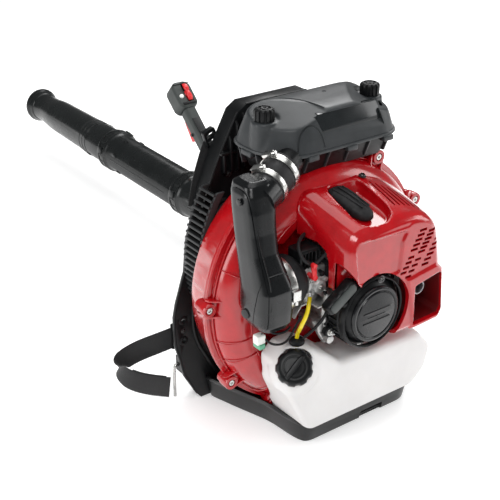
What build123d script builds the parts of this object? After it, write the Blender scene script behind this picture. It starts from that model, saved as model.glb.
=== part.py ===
from build123d import *

import math
import os

# Backpack leaf blower, standing on its base tray, in millimetres.
# +Z is up, +Y points to the operator's back, -Y to the engine, +X to the operator's right.
# The origin is on the flat underside of the base tray, below the crankshaft's axis.

# ---- driving dimensions ------------------------------------------------------------------------------
AXIS_Z = 215.0  # crankshaft and fan axis above the floor
SCROLL_R = 192.0  # outside radius of the fan housing
FLANGE_R = 200.0  # outside radius of the flange round both of its shells
WALL = 3.0  # moulded wall of the fan housing and covers
SPLIT_Y = -42.0  # plane where the two fan housing shells meet
REAR_Y = 15.0  # operator side of the fan housing
FRONT_Y = -85.0  # engine side of the fan housing
FACE_Y = -70.0  # sunk middle of that side, which the crankcase bolts to
PANEL_Y = 56.0  # engine side of the backpack frame's panel
PANEL_T = 5.0  # frame panel thickness
TRAY_H = 38.0  # height of the base tray's rim
DUCT_X, DUCT_Z = 158.0, 98.0  # axis of the blower tube, which runs along +Y
DUCT_Y = -35.0  # centre plane of the fan outlet
TUBE_R = 41.0  # outside radius of the blower tube
TUBE_T = 2.5  # wall of the blower tube
CYL_Y = -110.0  # cylinder's axis, which stands on the crankshaft
RUN = 0.3  # running gap between parts that move past each other

# stations along the blower tube
ELBOW_END = 70.0
CUFF_Y = 170.0  # middle of the bellows
SWIVEL_Y = 278.0  # start of the swivel tube
JOINT_A = 564.0
JOINT_B = 867.0
TIP_Y = 1250.0

CASE_FRONT = -134.0  # engine side of the crankcase
CASE_SPLIT = CYL_Y
STARTER_FACE = -181.0

HANDLE_LEAN = 48.5  # handle arm's lean forward from the vertical
HANDLE_Y = 400.0  # station of the handle clamp


# ---- helpers -----------------------------------------------------------------------------------------
def block(x0, x1, y0, y1, z0, z1):
    """An upright box between two corners."""
    centre = ((x0 + x1) / 2, (y0 + y1) / 2, (z0 + z1) / 2)
    return Pos(*centre) * Box(x1 - x0, y1 - y0, z1 - z0)


def rod_y(radius, y0, y1, x=0.0, z=AXIS_Z):
    """A cylinder along Y."""
    return Pos(x, (y0 + y1) / 2, z) * Rot(90, 0, 0) * Cylinder(radius, abs(y1 - y0))


def ring_y(outer, inner, y0, y1, x=0.0, z=AXIS_Z):
    """A round tube along Y."""
    return rod_y(outer, y0, y1, x, z) - rod_y(inner, y0 - 1, y1 + 1, x, z)


def rod(start, end, radius):
    """A cylinder between any two points."""
    start, end = Vector(*start), Vector(*end)
    plane = Plane(origin=start, z_dir=end - start)
    return plane * Pos(0, 0, (end - start).length / 2) * Cylinder(radius, (end - start).length)


def turned_y(points, x=0.0, z=AXIS_Z):
    """A solid turned about an axis along Y, from (radius, y) points."""
    plane = Plane(origin=(x, 0, z), x_dir=(1, 0, 0), z_dir=(0, 0, 1))
    face = make_face(Polyline(*[(r, y) for r, y in points], close=True))
    return revolve(plane * face, axis=Axis((x, 0, z), (0, 1, 0)))


def side_plate(points, y0, y1):
    """An outline in the XZ plane, extruded from y0 to y1."""
    face = make_face(Polyline(*points, close=True))
    plane = Plane(origin=(0, y0, 0), x_dir=(1, 0, 0), z_dir=(0, -1, 0))
    return extrude(plane * face, amount=y0 - y1)


def polar(radius, degrees, y=0.0):
    """A point at an angle round the fan axis: 0 is +X and 90 is up."""
    turn = math.radians(degrees)
    return (radius * math.cos(turn), y, AXIS_Z + radius * math.sin(turn))


def tube_path(points, radii, radius):
    """A round bar along straight runs joined by tangent arcs."""
    path = FilletPolyline(*points, radius=radii)
    start = Plane(origin=path @ 0, z_dir=path % 0)
    return sweep(start * Circle(radius), path=path)


def bend_radii(points):
    """The largest arcs that the runs allow: 0.45 of the shorter run at each corner."""
    radii = []
    for before, here, after in zip(points, points[1:], points[2:]):
        first = Vector(*here) - Vector(*before)
        second = Vector(*after) - Vector(*here)
        turn = math.radians(first.get_angle(second))
        radii.append(0.45 * min(first.length, second.length) / math.tan(turn / 2))
    return radii


def solids_of(shape):
    """The separate solids of a node."""
    shapes = shape if isinstance(shape, list) else [shape]
    return [solid for part in shapes for solid in part.solids()]


def save(shape, name):
    """Writes one node."""
    solids = solids_of(shape)
    export_step(Compound(children=solids) if len(solids) > 1 else solids[0], f"parts/{name}.step")


# ---- base and backpack frame -------------------------------------------------------------------------
TRAY_FOOT = [(-84, -136), (112, -136), (128, -118), (135, -60), (135, 56), (-135, 56)]
TRAY_FOOT += [(-118, 0), (-98, -60), (-92, -118)]
TRAY_FLARE = 9.0  # degrees that the tray's walls lean outwards


def tray_pocket(inset):
    """The tray's leaning walls, drawn in by an inset, as a solid."""
    outline = make_face(Polyline(*TRAY_FOOT, close=True))
    outline = offset(outline, amount=-inset) if inset else outline
    return extrude(outline, amount=TRAY_H + 2, taper=-TRAY_FLARE)


def base_tray():
    """Open tray under the tank: flat floor, leaning walls, a hand recess in the engine-side edge."""
    tray = tray_pocket(0) - Pos(0, 0, 4) * tray_pocket(4) - block(-200, 200, -200, 100, TRAY_H, 60)
    tray -= block(20, 66, -160, -131, -1, 14)
    return tray - block(-150, 150, PANEL_Y, PANEL_Y + 20, -1, TRAY_H + 1)


HOLE_R = 3.5
SIDE_HOLES = [(-175, 116), (-175, 152), (175, 176)]
STRAP_X = 44.0
FLANGE_D = 24.0  # depth of the frame's rim


PLATE = [(72, 462), (84, 440), (108, 395), (127, 350), (138, 315), (155, 270), (172, 226), (186, 183)]
PLATE += [(191, 160), (191, 112), (181, 77), (176, 50), (154, 10), (146, 0)]
RIM = [(72, 462), (84, 440), (108, 395), (127, 350), (136, 315), (149, 270), (155, 215), (160, 150)]
RIM += [(160, 60), (140, 0)]
POST_TOP = 472.0


def mirrored(half, inset=0.0):
    """A closed outline in the XZ plane from its right half, with a flat top and foot."""
    right = [(20, POST_TOP), (56, POST_TOP)] + half
    outline = right + [(-x, z) for x, z in reversed(right)]
    face = make_face(Polyline(*outline, close=True))
    return offset(face, amount=-inset) if inset else face


def plate_at(y, face, depth):
    """A face from the XZ plane, laid at a station and extruded towards the operator."""
    return extrude(Plane(origin=(0, y, 0), x_dir=(1, 0, 0), z_dir=(0, -1, 0)) * face, amount=-depth)


def back_frame():
    """Backpack frame: a panel with a rim towards the operator, notched for the blower tube."""
    frame = plate_at(PANEL_Y, mirrored(PLATE), PANEL_T)
    frame += plate_at(PANEL_Y, mirrored(RIM), PANEL_T + FLANGE_D)
    frame -= plate_at(PANEL_Y + PANEL_T, mirrored(RIM, 4), FLANGE_D + 1)
    for x in (-118, 118):
        frame += block(x - 3, x + 3, PANEL_Y + 2, PANEL_Y + PANEL_T + 14, 190, 320)
    # lug for the strap's hook, and the notch for the tube and its bellows
    frame += block(-176, -157, PANEL_Y + 2, PANEL_Y + 24, 52, 78)
    frame -= rod((-190, PANEL_Y + 17, 65), (-150, PANEL_Y + 17, 65), 3)
    frame -= block(DUCT_X - 58, 260, PANEL_Y - 1, PANEL_Y + 60, DUCT_Z - 58, DUCT_Z + 58)
    for x, z in SIDE_HOLES:
        frame -= rod_y(HOLE_R, PANEL_Y - 5, PANEL_Y + 60, x, z)
    # slots that the shoulder straps hang from
    for x in (-STRAP_X, STRAP_X):
        frame -= block(x - 28, x + 28, PANEL_Y - 1, PANEL_Y + 10, 414, 434)
    return frame


GUARD_X, GUARD_Z = 40.0, 255.0  # the combs are arcs about this point and its mirror image
GUARD_OUT, GUARD_IN = 211.0, 197.0
GUARD_Y0, GUARD_Y1 = REAR_Y + 1, PANEL_Y
GUARD_LOW, GUARD_HIGH = 196.0, 366.0
SLAT_PITCH = 2.6  # degrees between slats


def guard_comb():
    """The left comb: two curved bands with slats between them."""
    middle, depth = (GUARD_Y0 + GUARD_Y1) / 2, GUARD_Y1 - GUARD_Y0
    bands = ring_y(GUARD_OUT - 3, GUARD_IN, GUARD_Y1 - 4, GUARD_Y1, GUARD_X, GUARD_Z)
    bands += ring_y(GUARD_OUT - 3, GUARD_IN, GUARD_Y0, GUARD_Y0 + 4, GUARD_X, GUARD_Z)
    bands &= block(-260, -100, GUARD_Y0 - 1, GUARD_Y1 + 1, GUARD_LOW, GUARD_HIGH)
    slats = []
    for k in range(19):
        slat = Rot(0, 31 - SLAT_PITCH * k, 0) * Pos(-(GUARD_OUT + GUARD_IN) / 2, middle, 0)
        slat *= Box(GUARD_OUT - GUARD_IN, depth - 2, 3.2)
        slats.append(Pos(GUARD_X, 0, GUARD_Z) * slat)
    return bands.fuse(*slats)


def intake_guard():
    """Combs on both sides that let air in between the frame and the fan housing."""
    comb = guard_comb()
    return [comb, mirror(comb, about=Plane.YZ)]


MOUNTS = [(-106, 321), (106, 321), (-106, 109), (60, 78)]


def vibration_mounts():
    """Four rubber mounts between the fan housing and the frame."""
    blocks = None
    for x, z in MOUNTS:
        profile = [(0, REAR_Y), (14, REAR_Y), (10, REAR_Y + 12)]
        profile += [(10, PANEL_Y - 12), (14, PANEL_Y), (0, PANEL_Y)]
        rubber = turned_y(profile, x, z)
        blocks = rubber if blocks is None else blocks + rubber
    return blocks


# ---- fan housing -------------------------------------------------------------------------------------
OUTLET_X0, OUTLET_X1 = DUCT_X - 47, DUCT_X + 47
OUTLET_Z = 150.0  # lower end of the fan outlet, where the elbow starts
OUTLET_Y0, OUTLET_Y1 = DUCT_Y - 45, DUCT_Y + 45
HUB_R = 34.0  # opening for the crankcase nose
INTAKE_R = 100.0  # air intake on the operator's side
EAR_ANGLES = (25, 60, 130, 175, 215, 245, 280)
EAR_R = 203.0
SUNK_R = 132.0  # radius of the sunk middle of the engine side


def dish(inset):
    """The round part of the engine-side shell, with a curved shoulder."""
    r, front = SCROLL_R - inset, FRONT_Y + inset
    shoulder = 40.0 - inset
    profile = [(0, SPLIT_Y), (r, SPLIT_Y), (r, front + shoulder)]
    for k in range(1, 9):
        turn = math.radians(90 * k / 8)
        out, rise = shoulder * (1 - math.cos(turn)), shoulder * (1 - math.sin(turn))
        profile.append((r - out, front + rise))
    profile += [(0, front)]
    return turned_y(profile)


def sunk_face(grow):
    """The round space that the engine stands in, sunk into the engine-side shell."""
    r, floor = SUNK_R + grow, FACE_Y + grow
    space = turned_y([(0, floor), (r, floor), (r + 8, FRONT_Y - 5), (0, FRONT_Y - 5)])
    return space + rod_y(46 + grow, FRONT_Y - 5, floor, -112, PORT_Z)


def below_outlet(grow):
    """The space at the lower right that the housing leaves free for the elbow."""
    return block(OUTLET_X0 - 5 - grow, 260, -120, 60, -10, OUTLET_Z + grow)


def outlet_box(inset, y0, y1):
    """The straight outlet at the operator's right, where the air leaves the scroll downwards."""
    foot = OUTLET_Z - (1 if inset else 0)
    return block(OUTLET_X0 + inset, OUTLET_X1 - inset, y0, y1, foot, AXIS_Z + 14 - inset)


def ears(y0, y1):
    """Screw ears round the flange of one shell."""
    lugs = []
    for turn in EAR_ANGLES:
        x, _, z = polar(EAR_R, turn)
        root = Pos(*polar(EAR_R - 8, turn, (y0 + y1) / 2)) * Rot(0, -turn, 0) * Box(16, abs(y1 - y0), 18)
        lugs.append(rod_y(9, y0, y1, x, z) + root - rod_y(2.6, y0 - 2, y1 + 2, x, z))
    return lugs


def fan_housing_front():
    """Engine-side shell of the fan housing."""
    solid = dish(0) + ring_y(FLANGE_R, SCROLL_R - 6, SPLIT_Y - 5, SPLIT_Y)
    solid -= below_outlet(0) + sunk_face(0)
    solid += outlet_box(0, OUTLET_Y0, SPLIT_Y)
    solid = solid.fuse(*ears(SPLIT_Y - 14, SPLIT_Y))
    hollow = dish(WALL) + rod_y(SCROLL_R - WALL, SPLIT_Y - 5, SPLIT_Y + 1)
    hollow -= below_outlet(WALL) + sunk_face(WALL)
    solid -= hollow
    solid -= outlet_box(WALL, OUTLET_Y0 + WALL, SPLIT_Y + 1)
    for turn in EAR_ANGLES:
        x, _, z = polar(EAR_R, turn)
        solid -= rod_y(2.6, SPLIT_Y - 20, SPLIT_Y + 1, x, z)
    return solid - rod_y(HUB_R, FRONT_Y - 5, SPLIT_Y)


def rear_drum(inset):
    """The round part of the operator-side shell, which tapers a little."""
    r, rear = SCROLL_R - inset, REAR_Y - inset
    return turned_y([(0, SPLIT_Y), (r, SPLIT_Y), (r - 8, rear), (0, rear)])


def fan_housing_rear():
    """Operator-side shell of the fan housing, with the air intake."""
    solid = rear_drum(0) + ring_y(FLANGE_R, SCROLL_R - 6, SPLIT_Y, SPLIT_Y + 5)
    solid -= below_outlet(0)
    solid += outlet_box(0, SPLIT_Y, OUTLET_Y1)
    solid = solid.fuse(*ears(SPLIT_Y, SPLIT_Y + 8))
    solid -= rear_drum(WALL) - below_outlet(WALL)
    solid -= outlet_box(WALL, SPLIT_Y - 1, OUTLET_Y1 - WALL)
    for turn in EAR_ANGLES:
        x, _, z = polar(EAR_R, turn)
        solid -= rod_y(2.6, SPLIT_Y - 1, SPLIT_Y + 20, x, z)
    return solid - rod_y(INTAKE_R, REAR_Y - 10, REAR_Y + 1)


def housing_screws():
    """Screws through the ears of both shells."""
    screws = None
    for turn in EAR_ANGLES:
        x, _, z = polar(EAR_R, turn)
        screw = rod_y(2.5, SPLIT_Y - 14, SPLIT_Y + 8, x, z)
        screw += rod_y(4.6, SPLIT_Y - 18, SPLIT_Y - 14, x, z) - rod_y(2, SPLIT_Y - 19, SPLIT_Y - 16, x, z)
        screws = screw if screws is None else screws + screw
    return screws


# ---- rotor: crankshaft, impeller, flywheel -----------------------------------------------------------
SHAFT_R = 8.0
SHAFT_Y0, SHAFT_Y1 = -156.0, -24.0
WEB_R = 27.0
BLADES = 18
WHEEL_R = 116.0  # radius of the fan wheel


def crankshaft():
    """Crankshaft with two round webs and the crank pin between them."""
    shaft = rod_y(SHAFT_R, SHAFT_Y0, CYL_Y - 7) + rod_y(SHAFT_R, CYL_Y + 7, SHAFT_Y1)
    for side in (-1, 1):
        near, far = CYL_Y + side * 6, CYL_Y + side * 13
        shaft += rod_y(WEB_R, min(near, far), max(near, far))
    return shaft + rod_y(6, CYL_Y - 7, CYL_Y + 7, 0, AXIS_Z + 16)


def fan_impeller():
    """Backward-curved fan wheel, with a hub on the crankshaft."""
    back, front = FACE_Y + 12, REAR_Y - 14
    wheel = ring_y(WHEEL_R, SHAFT_R + 0.05, back, back + 3) + ring_y(24, SHAFT_R + 0.05, back, back + 40)
    wheel += ring_y(WHEEL_R, WHEEL_R - 32, front - 2, front)
    blades = []
    for k in range(BLADES):
        blade = Rot(0, 18, 0) * Box(58, front - back - 2, 2.4)
        blade = Rot(0, 360 * k / BLADES, 0) * Pos(82, (front + back) / 2, 0) * blade
        blades.append(Pos(0, 0, AXIS_Z) * blade)
    return wheel.fuse(*blades) & rod_y(WHEEL_R, FRONT_Y, REAR_Y)


def flywheel():
    """Magneto flywheel with cooling fins and its starter cup."""
    wheel = ring_y(42, SHAFT_R + 0.05, -147, -141)
    fins = []
    for k in range(12):
        fin = Rot(0, 30 * k, 0) * Pos(32, -149.5, 0) * Box(18, 6, 2)
        fins.append(Pos(0, 0, AXIS_Z) * fin)
    wheel = wheel.fuse(*fins)
    return wheel + ring_y(19, SHAFT_R + 0.05, -154, -147)


# ---- engine ------------------------------------------------------------------------------------------
CASE_R = 46.0
BEARING_R = 17.0
BORE_R = 22.0
CYL_FOOT = AXIS_Z + 40.0
CYL_TOP = CYL_FOOT + 84.0
PORT_Z = CYL_FOOT + 18.0  # height of both ports
FIN_X, FIN_Y = 42.0, 25.0


def crankcase_half(y0, y1, seat0, seat1):
    """One half of the crankcase: a cup with a bearing seat, a mouth for the cylinder and bolt feet."""
    half = rod_y(CASE_R, y0, y1) + block(-30, 30, y0, y1, AXIS_Z, CYL_FOOT)
    half += block(-52, 52, y0, y1, AXIS_Z - 44, AXIS_Z - 28)
    cavity = rod_y(CASE_R - 12, CYL_Y - 16, CYL_Y + 16) + rod_y(BEARING_R, seat0, seat1)
    cavity += Pos(0, CYL_Y, AXIS_Z + 30) * Cylinder(BORE_R + 1.5, 60) + rod_y(SHAFT_R + 2, -200, 0)
    return half - cavity - block(-60, 60, y0 - 1, y1 + 1, CYL_FOOT, CYL_FOOT + 20)


def crankcase_rear():
    """Half of the crankcase that bolts to the fan housing, with its round nose in the hub opening."""
    half = crankcase_half(CASE_SPLIT, FACE_Y, FACE_Y - 10, FACE_Y - 1)
    nose = ring_y(HUB_R - 1, SHAFT_R + 2, FACE_Y, FACE_Y + 8)
    return half + nose


def crankcase_front():
    """Half of the crankcase on the starter side."""
    return crankcase_half(CASE_FRONT, CASE_SPLIT, CASE_FRONT + 1, CASE_FRONT + 9)


def bearings():
    """Ball bearings, each an inner ring, an outer ring and a ring of balls between."""
    parts = None
    for y0, y1 in ((FACE_Y - 9, FACE_Y - 1), (CASE_FRONT + 1, CASE_FRONT + 8)):
        middle = (y0 + y1) / 2
        pair = ring_y(BEARING_R, 14.2, y0, y1) + ring_y(10.4, SHAFT_R + 0.05, y0, y1)
        for k in range(9):
            x, _, z = polar(12.3, 40 * k)
            pair += Pos(x, middle, z) * Sphere(1.85)
        parts = pair if parts is None else parts + pair
    return parts


def port(x0, x1, radius):
    """A round passage along X at the height of the ports."""
    return rod((x0, CYL_Y, PORT_Z), (x1, CYL_Y, PORT_Z), radius)


def cylinder_barrel():
    """Finned cylinder with its head and a port on each side."""
    barrel = Pos(0, CYL_Y, (CYL_FOOT + CYL_TOP) / 2) * Cylinder(BORE_R + 5, CYL_TOP - CYL_FOOT)
    barrel += block(-29, 29, CYL_Y - 24, CYL_Y + 23, CYL_FOOT, CYL_FOOT + 5)
    fins = []
    for k in range(7):
        z = CYL_FOOT + 34 + 7.6 * k
        fins.append(block(-FIN_X, FIN_X, CYL_Y - FIN_Y, CYL_Y + FIN_Y - 2, z, z + 2.2))
    barrel = barrel.fuse(*fins)
    barrel += block(-36, 42, CYL_Y - 14, CYL_Y + 14, PORT_Z - 11, PORT_Z + 13)
    barrel -= Pos(0, CYL_Y, (CYL_FOOT + CYL_TOP) / 2 - 6) * Cylinder(BORE_R, CYL_TOP - CYL_FOOT)
    barrel -= port(-60, -10, 8) + port(10, 60, 8)
    return barrel - Pos(0, CYL_Y, CYL_TOP) * Cylinder(5, 30)


def piston():
    """Piston near the top of its stroke, with two rings in their grooves and the pin bore."""
    top = CYL_TOP - 8
    body = Pos(0, CYL_Y, top - 16) * Cylinder(BORE_R - 0.05, 32)
    rings = None
    for z in (top - 5, top - 9):
        body -= Pos(0, CYL_Y, z) * (Cylinder(BORE_R + 1, 1.6) - Cylinder(BORE_R - 2, 3))
        ring = Pos(0, CYL_Y, z) * (Cylinder(BORE_R - 0.05, 1.4) - Cylinder(BORE_R - 1.9, 3))
        rings = ring if rings is None else rings + ring
    body -= Pos(0, CYL_Y, top - 22) * Cylinder(BORE_R - 4, 24)
    body -= rod((0, CYL_Y - 30, top - 22), (0, CYL_Y + 30, top - 22), 5)
    return body + rings


def spark_plug():
    """Spark plug screwed into the head."""
    plug = Pos(0, CYL_Y, CYL_TOP) * Cylinder(4.9, 12)
    plug += Pos(0, CYL_Y, CYL_TOP + 6) * extrude(RegularPolygon(8, 6), amount=5)
    return plug + Pos(0, CYL_Y, CYL_TOP + 16) * Cylinder(5, 12)


PLUG_CAP_Z = CYL_TOP + 25.0


def plug_cap():
    """Rubber plug cap that sits over the spark plug and reaches towards the engine side."""
    body = block(-26, 8, CYL_Y - 34, CYL_Y + 16, PLUG_CAP_Z, PLUG_CAP_Z + 22)
    body = fillet(body.edges().filter_by(Axis.Z), 13)
    body = fillet(body.faces().sort_by(Axis.Z)[-1].edges(), 8)
    body = Pos(0, CYL_Y, PLUG_CAP_Z) * Rot(14, 0, 0) * Pos(0, -CYL_Y, -PLUG_CAP_Z) * body
    neck = Pos(0, CYL_Y, CYL_TOP + 20) * Cylinder(9, 15)
    return body + neck - Pos(0, CYL_Y, CYL_TOP + 14) * Cylinder(5.2, 18)


def muffler():
    """Pressed-steel muffler beside the cylinder, with its inlet neck and its outlet stub."""
    body = block(60, 114, CYL_Y - 40, CYL_Y + 20, AXIS_Z - 8, AXIS_Z + 80)
    body = fillet(body.edges().filter_by(Axis.Y), 10)
    body -= block(63, 111, CYL_Y - 37, CYL_Y + 17, AXIS_Z - 5, AXIS_Z + 77)
    body += port(42, 61, 12)
    front = CYL_Y - 40
    body += rod_y(11, front - 16, front, 96, AXIS_Z + 6)
    return body - rod_y(9, front - 20, front + 6, 96, AXIS_Z + 6) - port(40, 65, 8)


CARB_Z = PORT_Z - 5.0  # middle of the carburettor's body


def insulator_block():
    """Heat-insulating intake block between the cylinder and the carburettor."""
    body = block(-56, -36, CYL_Y - 18, CYL_Y + 18, CARB_Z - 16, CARB_Z + 20)
    return body - port(-60, -30, 8)


def carburettor():
    """Diaphragm carburettor with its throttle bore, pump cover and fuel nipple."""
    body = block(-92, -56, CYL_Y - 20, CYL_Y + 20, CARB_Z - 16, CARB_Z + 24)
    body = fillet(body.edges().filter_by(Axis.X), 3)
    body += block(-88, -60, CYL_Y - 17, CYL_Y + 17, CARB_Z - 22, CARB_Z - 16)
    x, y, z = HOSE_END
    body += rod((x, y, z + 2), (x, y, z + 8), 2.2) + block(x - 4, x + 4, y - 4, CYL_Y - 18, z + 6, z + 14)
    return body - port(-95, -50, 9)


HOSE_END = (-84.0, CYL_Y - 23.0, CARB_Z - 18.0)


def heat_shield():
    """Bent aluminium plate under the carburettor, notched for the fuel line."""
    top = CARB_Z - 32
    plate = [(-104, top - 18), (-92, top - 2), (-54, top - 2), (-54, top), (-93, top), (-106, top - 17)]
    shield = side_plate(plate, CYL_Y - 34, CYL_Y + 18)
    return shield - block(-120, -78, CYL_Y - 36, CYL_Y - 16, top - 30, top + 5)


# levers on the carburettor
THROTTLE_PIVOT = (-66.0, CYL_Y - 20.0, CARB_Z + 16)
CHOKE_PIVOT = (-84.0, CYL_Y - 20.0, CARB_Z + 16)


def throttle_arm():
    """Arm on the end of the throttle shaft that the cable pulls."""
    x, y, z = THROTTLE_PIVOT
    arm = rod((x, y - RUN, z), (x, y - 8, z), 3) + block(x - 3, x + 3, y - 8, y - 5.5, z - 14, z)
    return arm + rod((x, y - 8, z - 14), (x, y - 5.5, z - 14), 4.5)


def choke_lever():
    """Red choke lever on its own shaft beside the throttle arm."""
    x, y, z = CHOKE_PIVOT
    lever = rod((x, y - RUN, z), (x, y - 14, z), 4)
    lever += side_plate([(x - 4, z - 3), (x + 4, z - 3), (x + 2, z + 30), (x - 8, z + 30)], y - 14, y - 11)
    return lever + rod((x - 3, y - 22, z + 28), (x - 3, y - 11, z + 28), 5)


# ---- air cleaner -------------------------------------------------------------------------------------
BOX_X0, BOX_X1 = -100.0, 135.0
BOX_Y0, BOX_Y1 = -78.0, 45.0
BOX_Z0, BOX_SPLIT, BOX_Z1 = 400.0, 433.0, 488.0
KNOB_L, KNOB_R, KNOB_Y = -79.0, 114.0, -18.0
KNOB_Z = 474.0
SPIGOT_DIR = (-0.88, -0.36, -0.31)  # the way the cleaner's outlet points


def along_spigot(distance):
    """A point on the axis of the cleaner's outlet."""
    return tuple(p + distance * d for p, d in zip((-66.0, -60.0, 427.0), SPIGOT_DIR))


def cleaner_outline(inset):
    """Outline of the air cleaner from above, with cut corners."""
    x0, x1, a, b = BOX_X0 + inset, BOX_X1 - inset, BOX_Y0 + inset, BOX_Y1 - inset
    points = [(x0, a + 46), (x0 + 36, a), (x1 - 22, a), (x1, a + 30), (x1, b - 20)]
    points += [(x1 - 20, b), (x0 + 20, b), (x0, b - 20)]
    return make_face(Polyline(*points, close=True))


def air_cleaner_base():
    """Lower half of the cleaner box: a saddle on the fan housing, an outlet spigot and two studs."""
    base = Pos(0, 0, BOX_Z0) * extrude(cleaner_outline(16), amount=BOX_SPLIT - BOX_Z0, taper=-20)
    base -= Pos(0, 0, BOX_Z0 + 20) * extrude(cleaner_outline(12), amount=20, taper=-20)
    base -= dish(-0.3) + rod_y(SCROLL_R + RUN, SPLIT_Y - 1, REAR_Y + RUN)
    base -= rod_y(FLANGE_R + 0.4, SPLIT_Y - 6, SPLIT_Y + 6)
    for x in (KNOB_L, KNOB_R):
        base += Pos(x, KNOB_Y, 444) * Cylinder(3, 52)
    above = Pos(0, 0, BOX_SPLIT) * extrude(cleaner_outline(-RUN), amount=40, taper=16)
    base += rod(along_spigot(0), along_spigot(34), 20) - above
    return base - rod(along_spigot(-14), along_spigot(36), 17)


def air_cleaner_cover():
    """Upper half of the cleaner box: crowned, with a sunk seat for each knob and an inlet slot."""
    height = BOX_Z1 - BOX_SPLIT
    cover = Pos(0, 0, BOX_SPLIT) * extrude(cleaner_outline(0), amount=height, taper=16)
    cover = fillet(cover.faces().sort_by(Axis.Z)[-1].edges(), 5)
    cover -= Pos(0, 0, BOX_SPLIT - 0.01) * extrude(cleaner_outline(3), amount=height - 3, taper=16)
    for x in (KNOB_L, KNOB_R):
        cover += Pos(x, KNOB_Y, (BOX_SPLIT + KNOB_Z) / 2) * Cylinder(19, KNOB_Z - BOX_SPLIT)
        cover -= Pos(x, KNOB_Y, KNOB_Z + 20) * Cylinder(19, 40)
        cover -= Pos(x, KNOB_Y, KNOB_Z) * Cylinder(3.3, 120)
        cover -= Pos(x, KNOB_Y, BOX_SPLIT + 17) * Cylinder(16, 36)
    return cover - block(-20, 85, BOX_Y0 + 6, BOX_Y0 + 16, 460, 476)


def air_filter():
    """Pleated filter element inside the box."""
    frame = block(-52, 92, -52, 24, BOX_SPLIT - 12, BOX_SPLIT + 24)
    pleats = []
    for k in range(17):
        pleats.append(block(-48 + 8 * k, -44 + 8 * k, -48, 20, BOX_SPLIT - 8, BOX_SPLIT + 25))
    return frame.cut(*pleats)


def cover_knob(x):
    """Fluted knob on one of the cover's studs."""
    knob = Pos(x, KNOB_Y, KNOB_Z + RUN + 9) * Cylinder(15, 18)
    flutes = []
    for k in range(12):
        turn = math.radians(30 * k)
        flute = Pos(x + 16.4 * math.cos(turn), KNOB_Y + 16.4 * math.sin(turn), KNOB_Z + 9)
        flutes.append(flute * Cylinder(2.8, 24))
    knob = knob.cut(*flutes)
    return knob - Pos(x, KNOB_Y, KNOB_Z + RUN + 18) * (Cylinder(9, 5) - Cylinder(5, 6))


# ---- intake duct from the air cleaner to the carburettor ---------------------------------------------
DUCT_SECTIONS = [  # centre x, centre y, height, width, depth of the duct's sections
    (-150.0, -121.0, 216.0, 38.0, 46.0),
    (-150.0, -121.0, 236.0, 56.0, 68.0),
    (-150.0, -121.0, 292.0, 58.0, 68.0),
    (-155.0, -106.0, 330.0, 44.0, 54.0),
    (-151.0, -92.0, 388.0, 48.0, 54.0),
    (-149.0, -84.0, 426.0, 42.0, 50.0),
]


def duct_body(inset):
    """The duct's long hollow body, which leans back towards the top."""
    sections = []
    for x, y, z, width, depth in DUCT_SECTIONS:
        z += inset if z == DUCT_SECTIONS[0][2] else 0
        z -= inset if z == DUCT_SECTIONS[-1][2] else 0
        a, b, cut = width / 2 - inset, depth / 2 - inset, 9 - inset / 2
        half = [(a, cut - b), (a, b - cut), (a - cut, b), (cut - a, b)]
        outline = half + [(-u, -v) for u, v in half]
        sections.append(Plane(origin=(x, y, z)) * make_face(Polyline(*outline, close=True)))
    return loft(sections, ruled=True)


def boot_pockets(grow):
    """Spaces in the duct's body for the ends of both boots and their clamps."""
    pockets = rod(along_spigot(30), along_spigot(70 + grow), 31 + grow)
    pockets += rod((-131 - grow, CYL_Y, PORT_Z), (-90, CYL_Y, PORT_Z), 41 + grow)
    deep = 48 + grow
    return pockets + block(-131 - grow, -90, CYL_Y - deep, CYL_Y, PORT_Z - 20 - grow, PORT_Z + 20 + grow)


def air_duct():
    """Moulded intake duct: a hollow body with a spigot at the top and one at the bottom."""
    body = duct_body(0) - boot_pockets(0)
    body += rod(along_spigot(92), along_spigot(70), 27) + rod(along_spigot(92), along_spigot(58), 24)
    body += rod((-135, CYL_Y, PORT_Z), (-122, CYL_Y, PORT_Z), 34)
    body -= duct_body(3) - boot_pockets(3)
    body -= rod(along_spigot(88), along_spigot(56), 20)
    return body - rod((-140, CYL_Y, PORT_Z), (-120, CYL_Y, PORT_Z), 30)


def intake_boots():
    """Two rubber boots: cleaner to duct, and duct to carburettor."""
    upper = rod(along_spigot(20), along_spigot(69.7), 27) - rod(along_spigot(50), along_spigot(80), 24.2)
    upper -= rod(along_spigot(10), along_spigot(52), 20.2)
    profile = [(-92.3, 11), (-92.3, 30), (-104, 38), (-130, 38)]
    profile += [(-130, 34.2), (-121, 34.2), (-104, 26), (-98, 11)]
    plane = Plane(origin=(0, CYL_Y, PORT_Z), x_dir=(1, 0, 0), z_dir=(0, -1, 0))
    face = plane * make_face(Polyline(*profile, close=True))
    return [upper, revolve(face, axis=Axis((0, CYL_Y, PORT_Z), (1, 0, 0)))]


def hose_clamp(centre, direction, inner, width, screw_dir):
    """Worm-drive hose clamp: a band with its screw housing on one side."""
    band = Cylinder(inner + 1.2, width)
    housing = Pos(inner + 3.2, 0, 0) * Box(6, 15, width + 1)
    screw = Pos(inner + 3.7, -10.5, 0) * Rot(90, 0, 0) * Cylinder(3, 6)
    clamp = band + housing + screw - Cylinder(inner, width + 6)
    return Plane(origin=centre, x_dir=screw_dir, z_dir=direction) * clamp


def hose_clamps():
    """The clamps round both boots."""
    across = Vector(*SPIGOT_DIR)
    top = across.cross(Vector(0, -1, 0.3))
    clamps = [hose_clamp(along_spigot(at), across, 27.1, width, top) for at, width in ((30, 10.0), (61, 9.0))]
    clamps.append(hose_clamp((-123, CYL_Y, PORT_Z), (-1, 0, 0), 38.1, 12, (0, -1, 0)))
    return clamps


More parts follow.
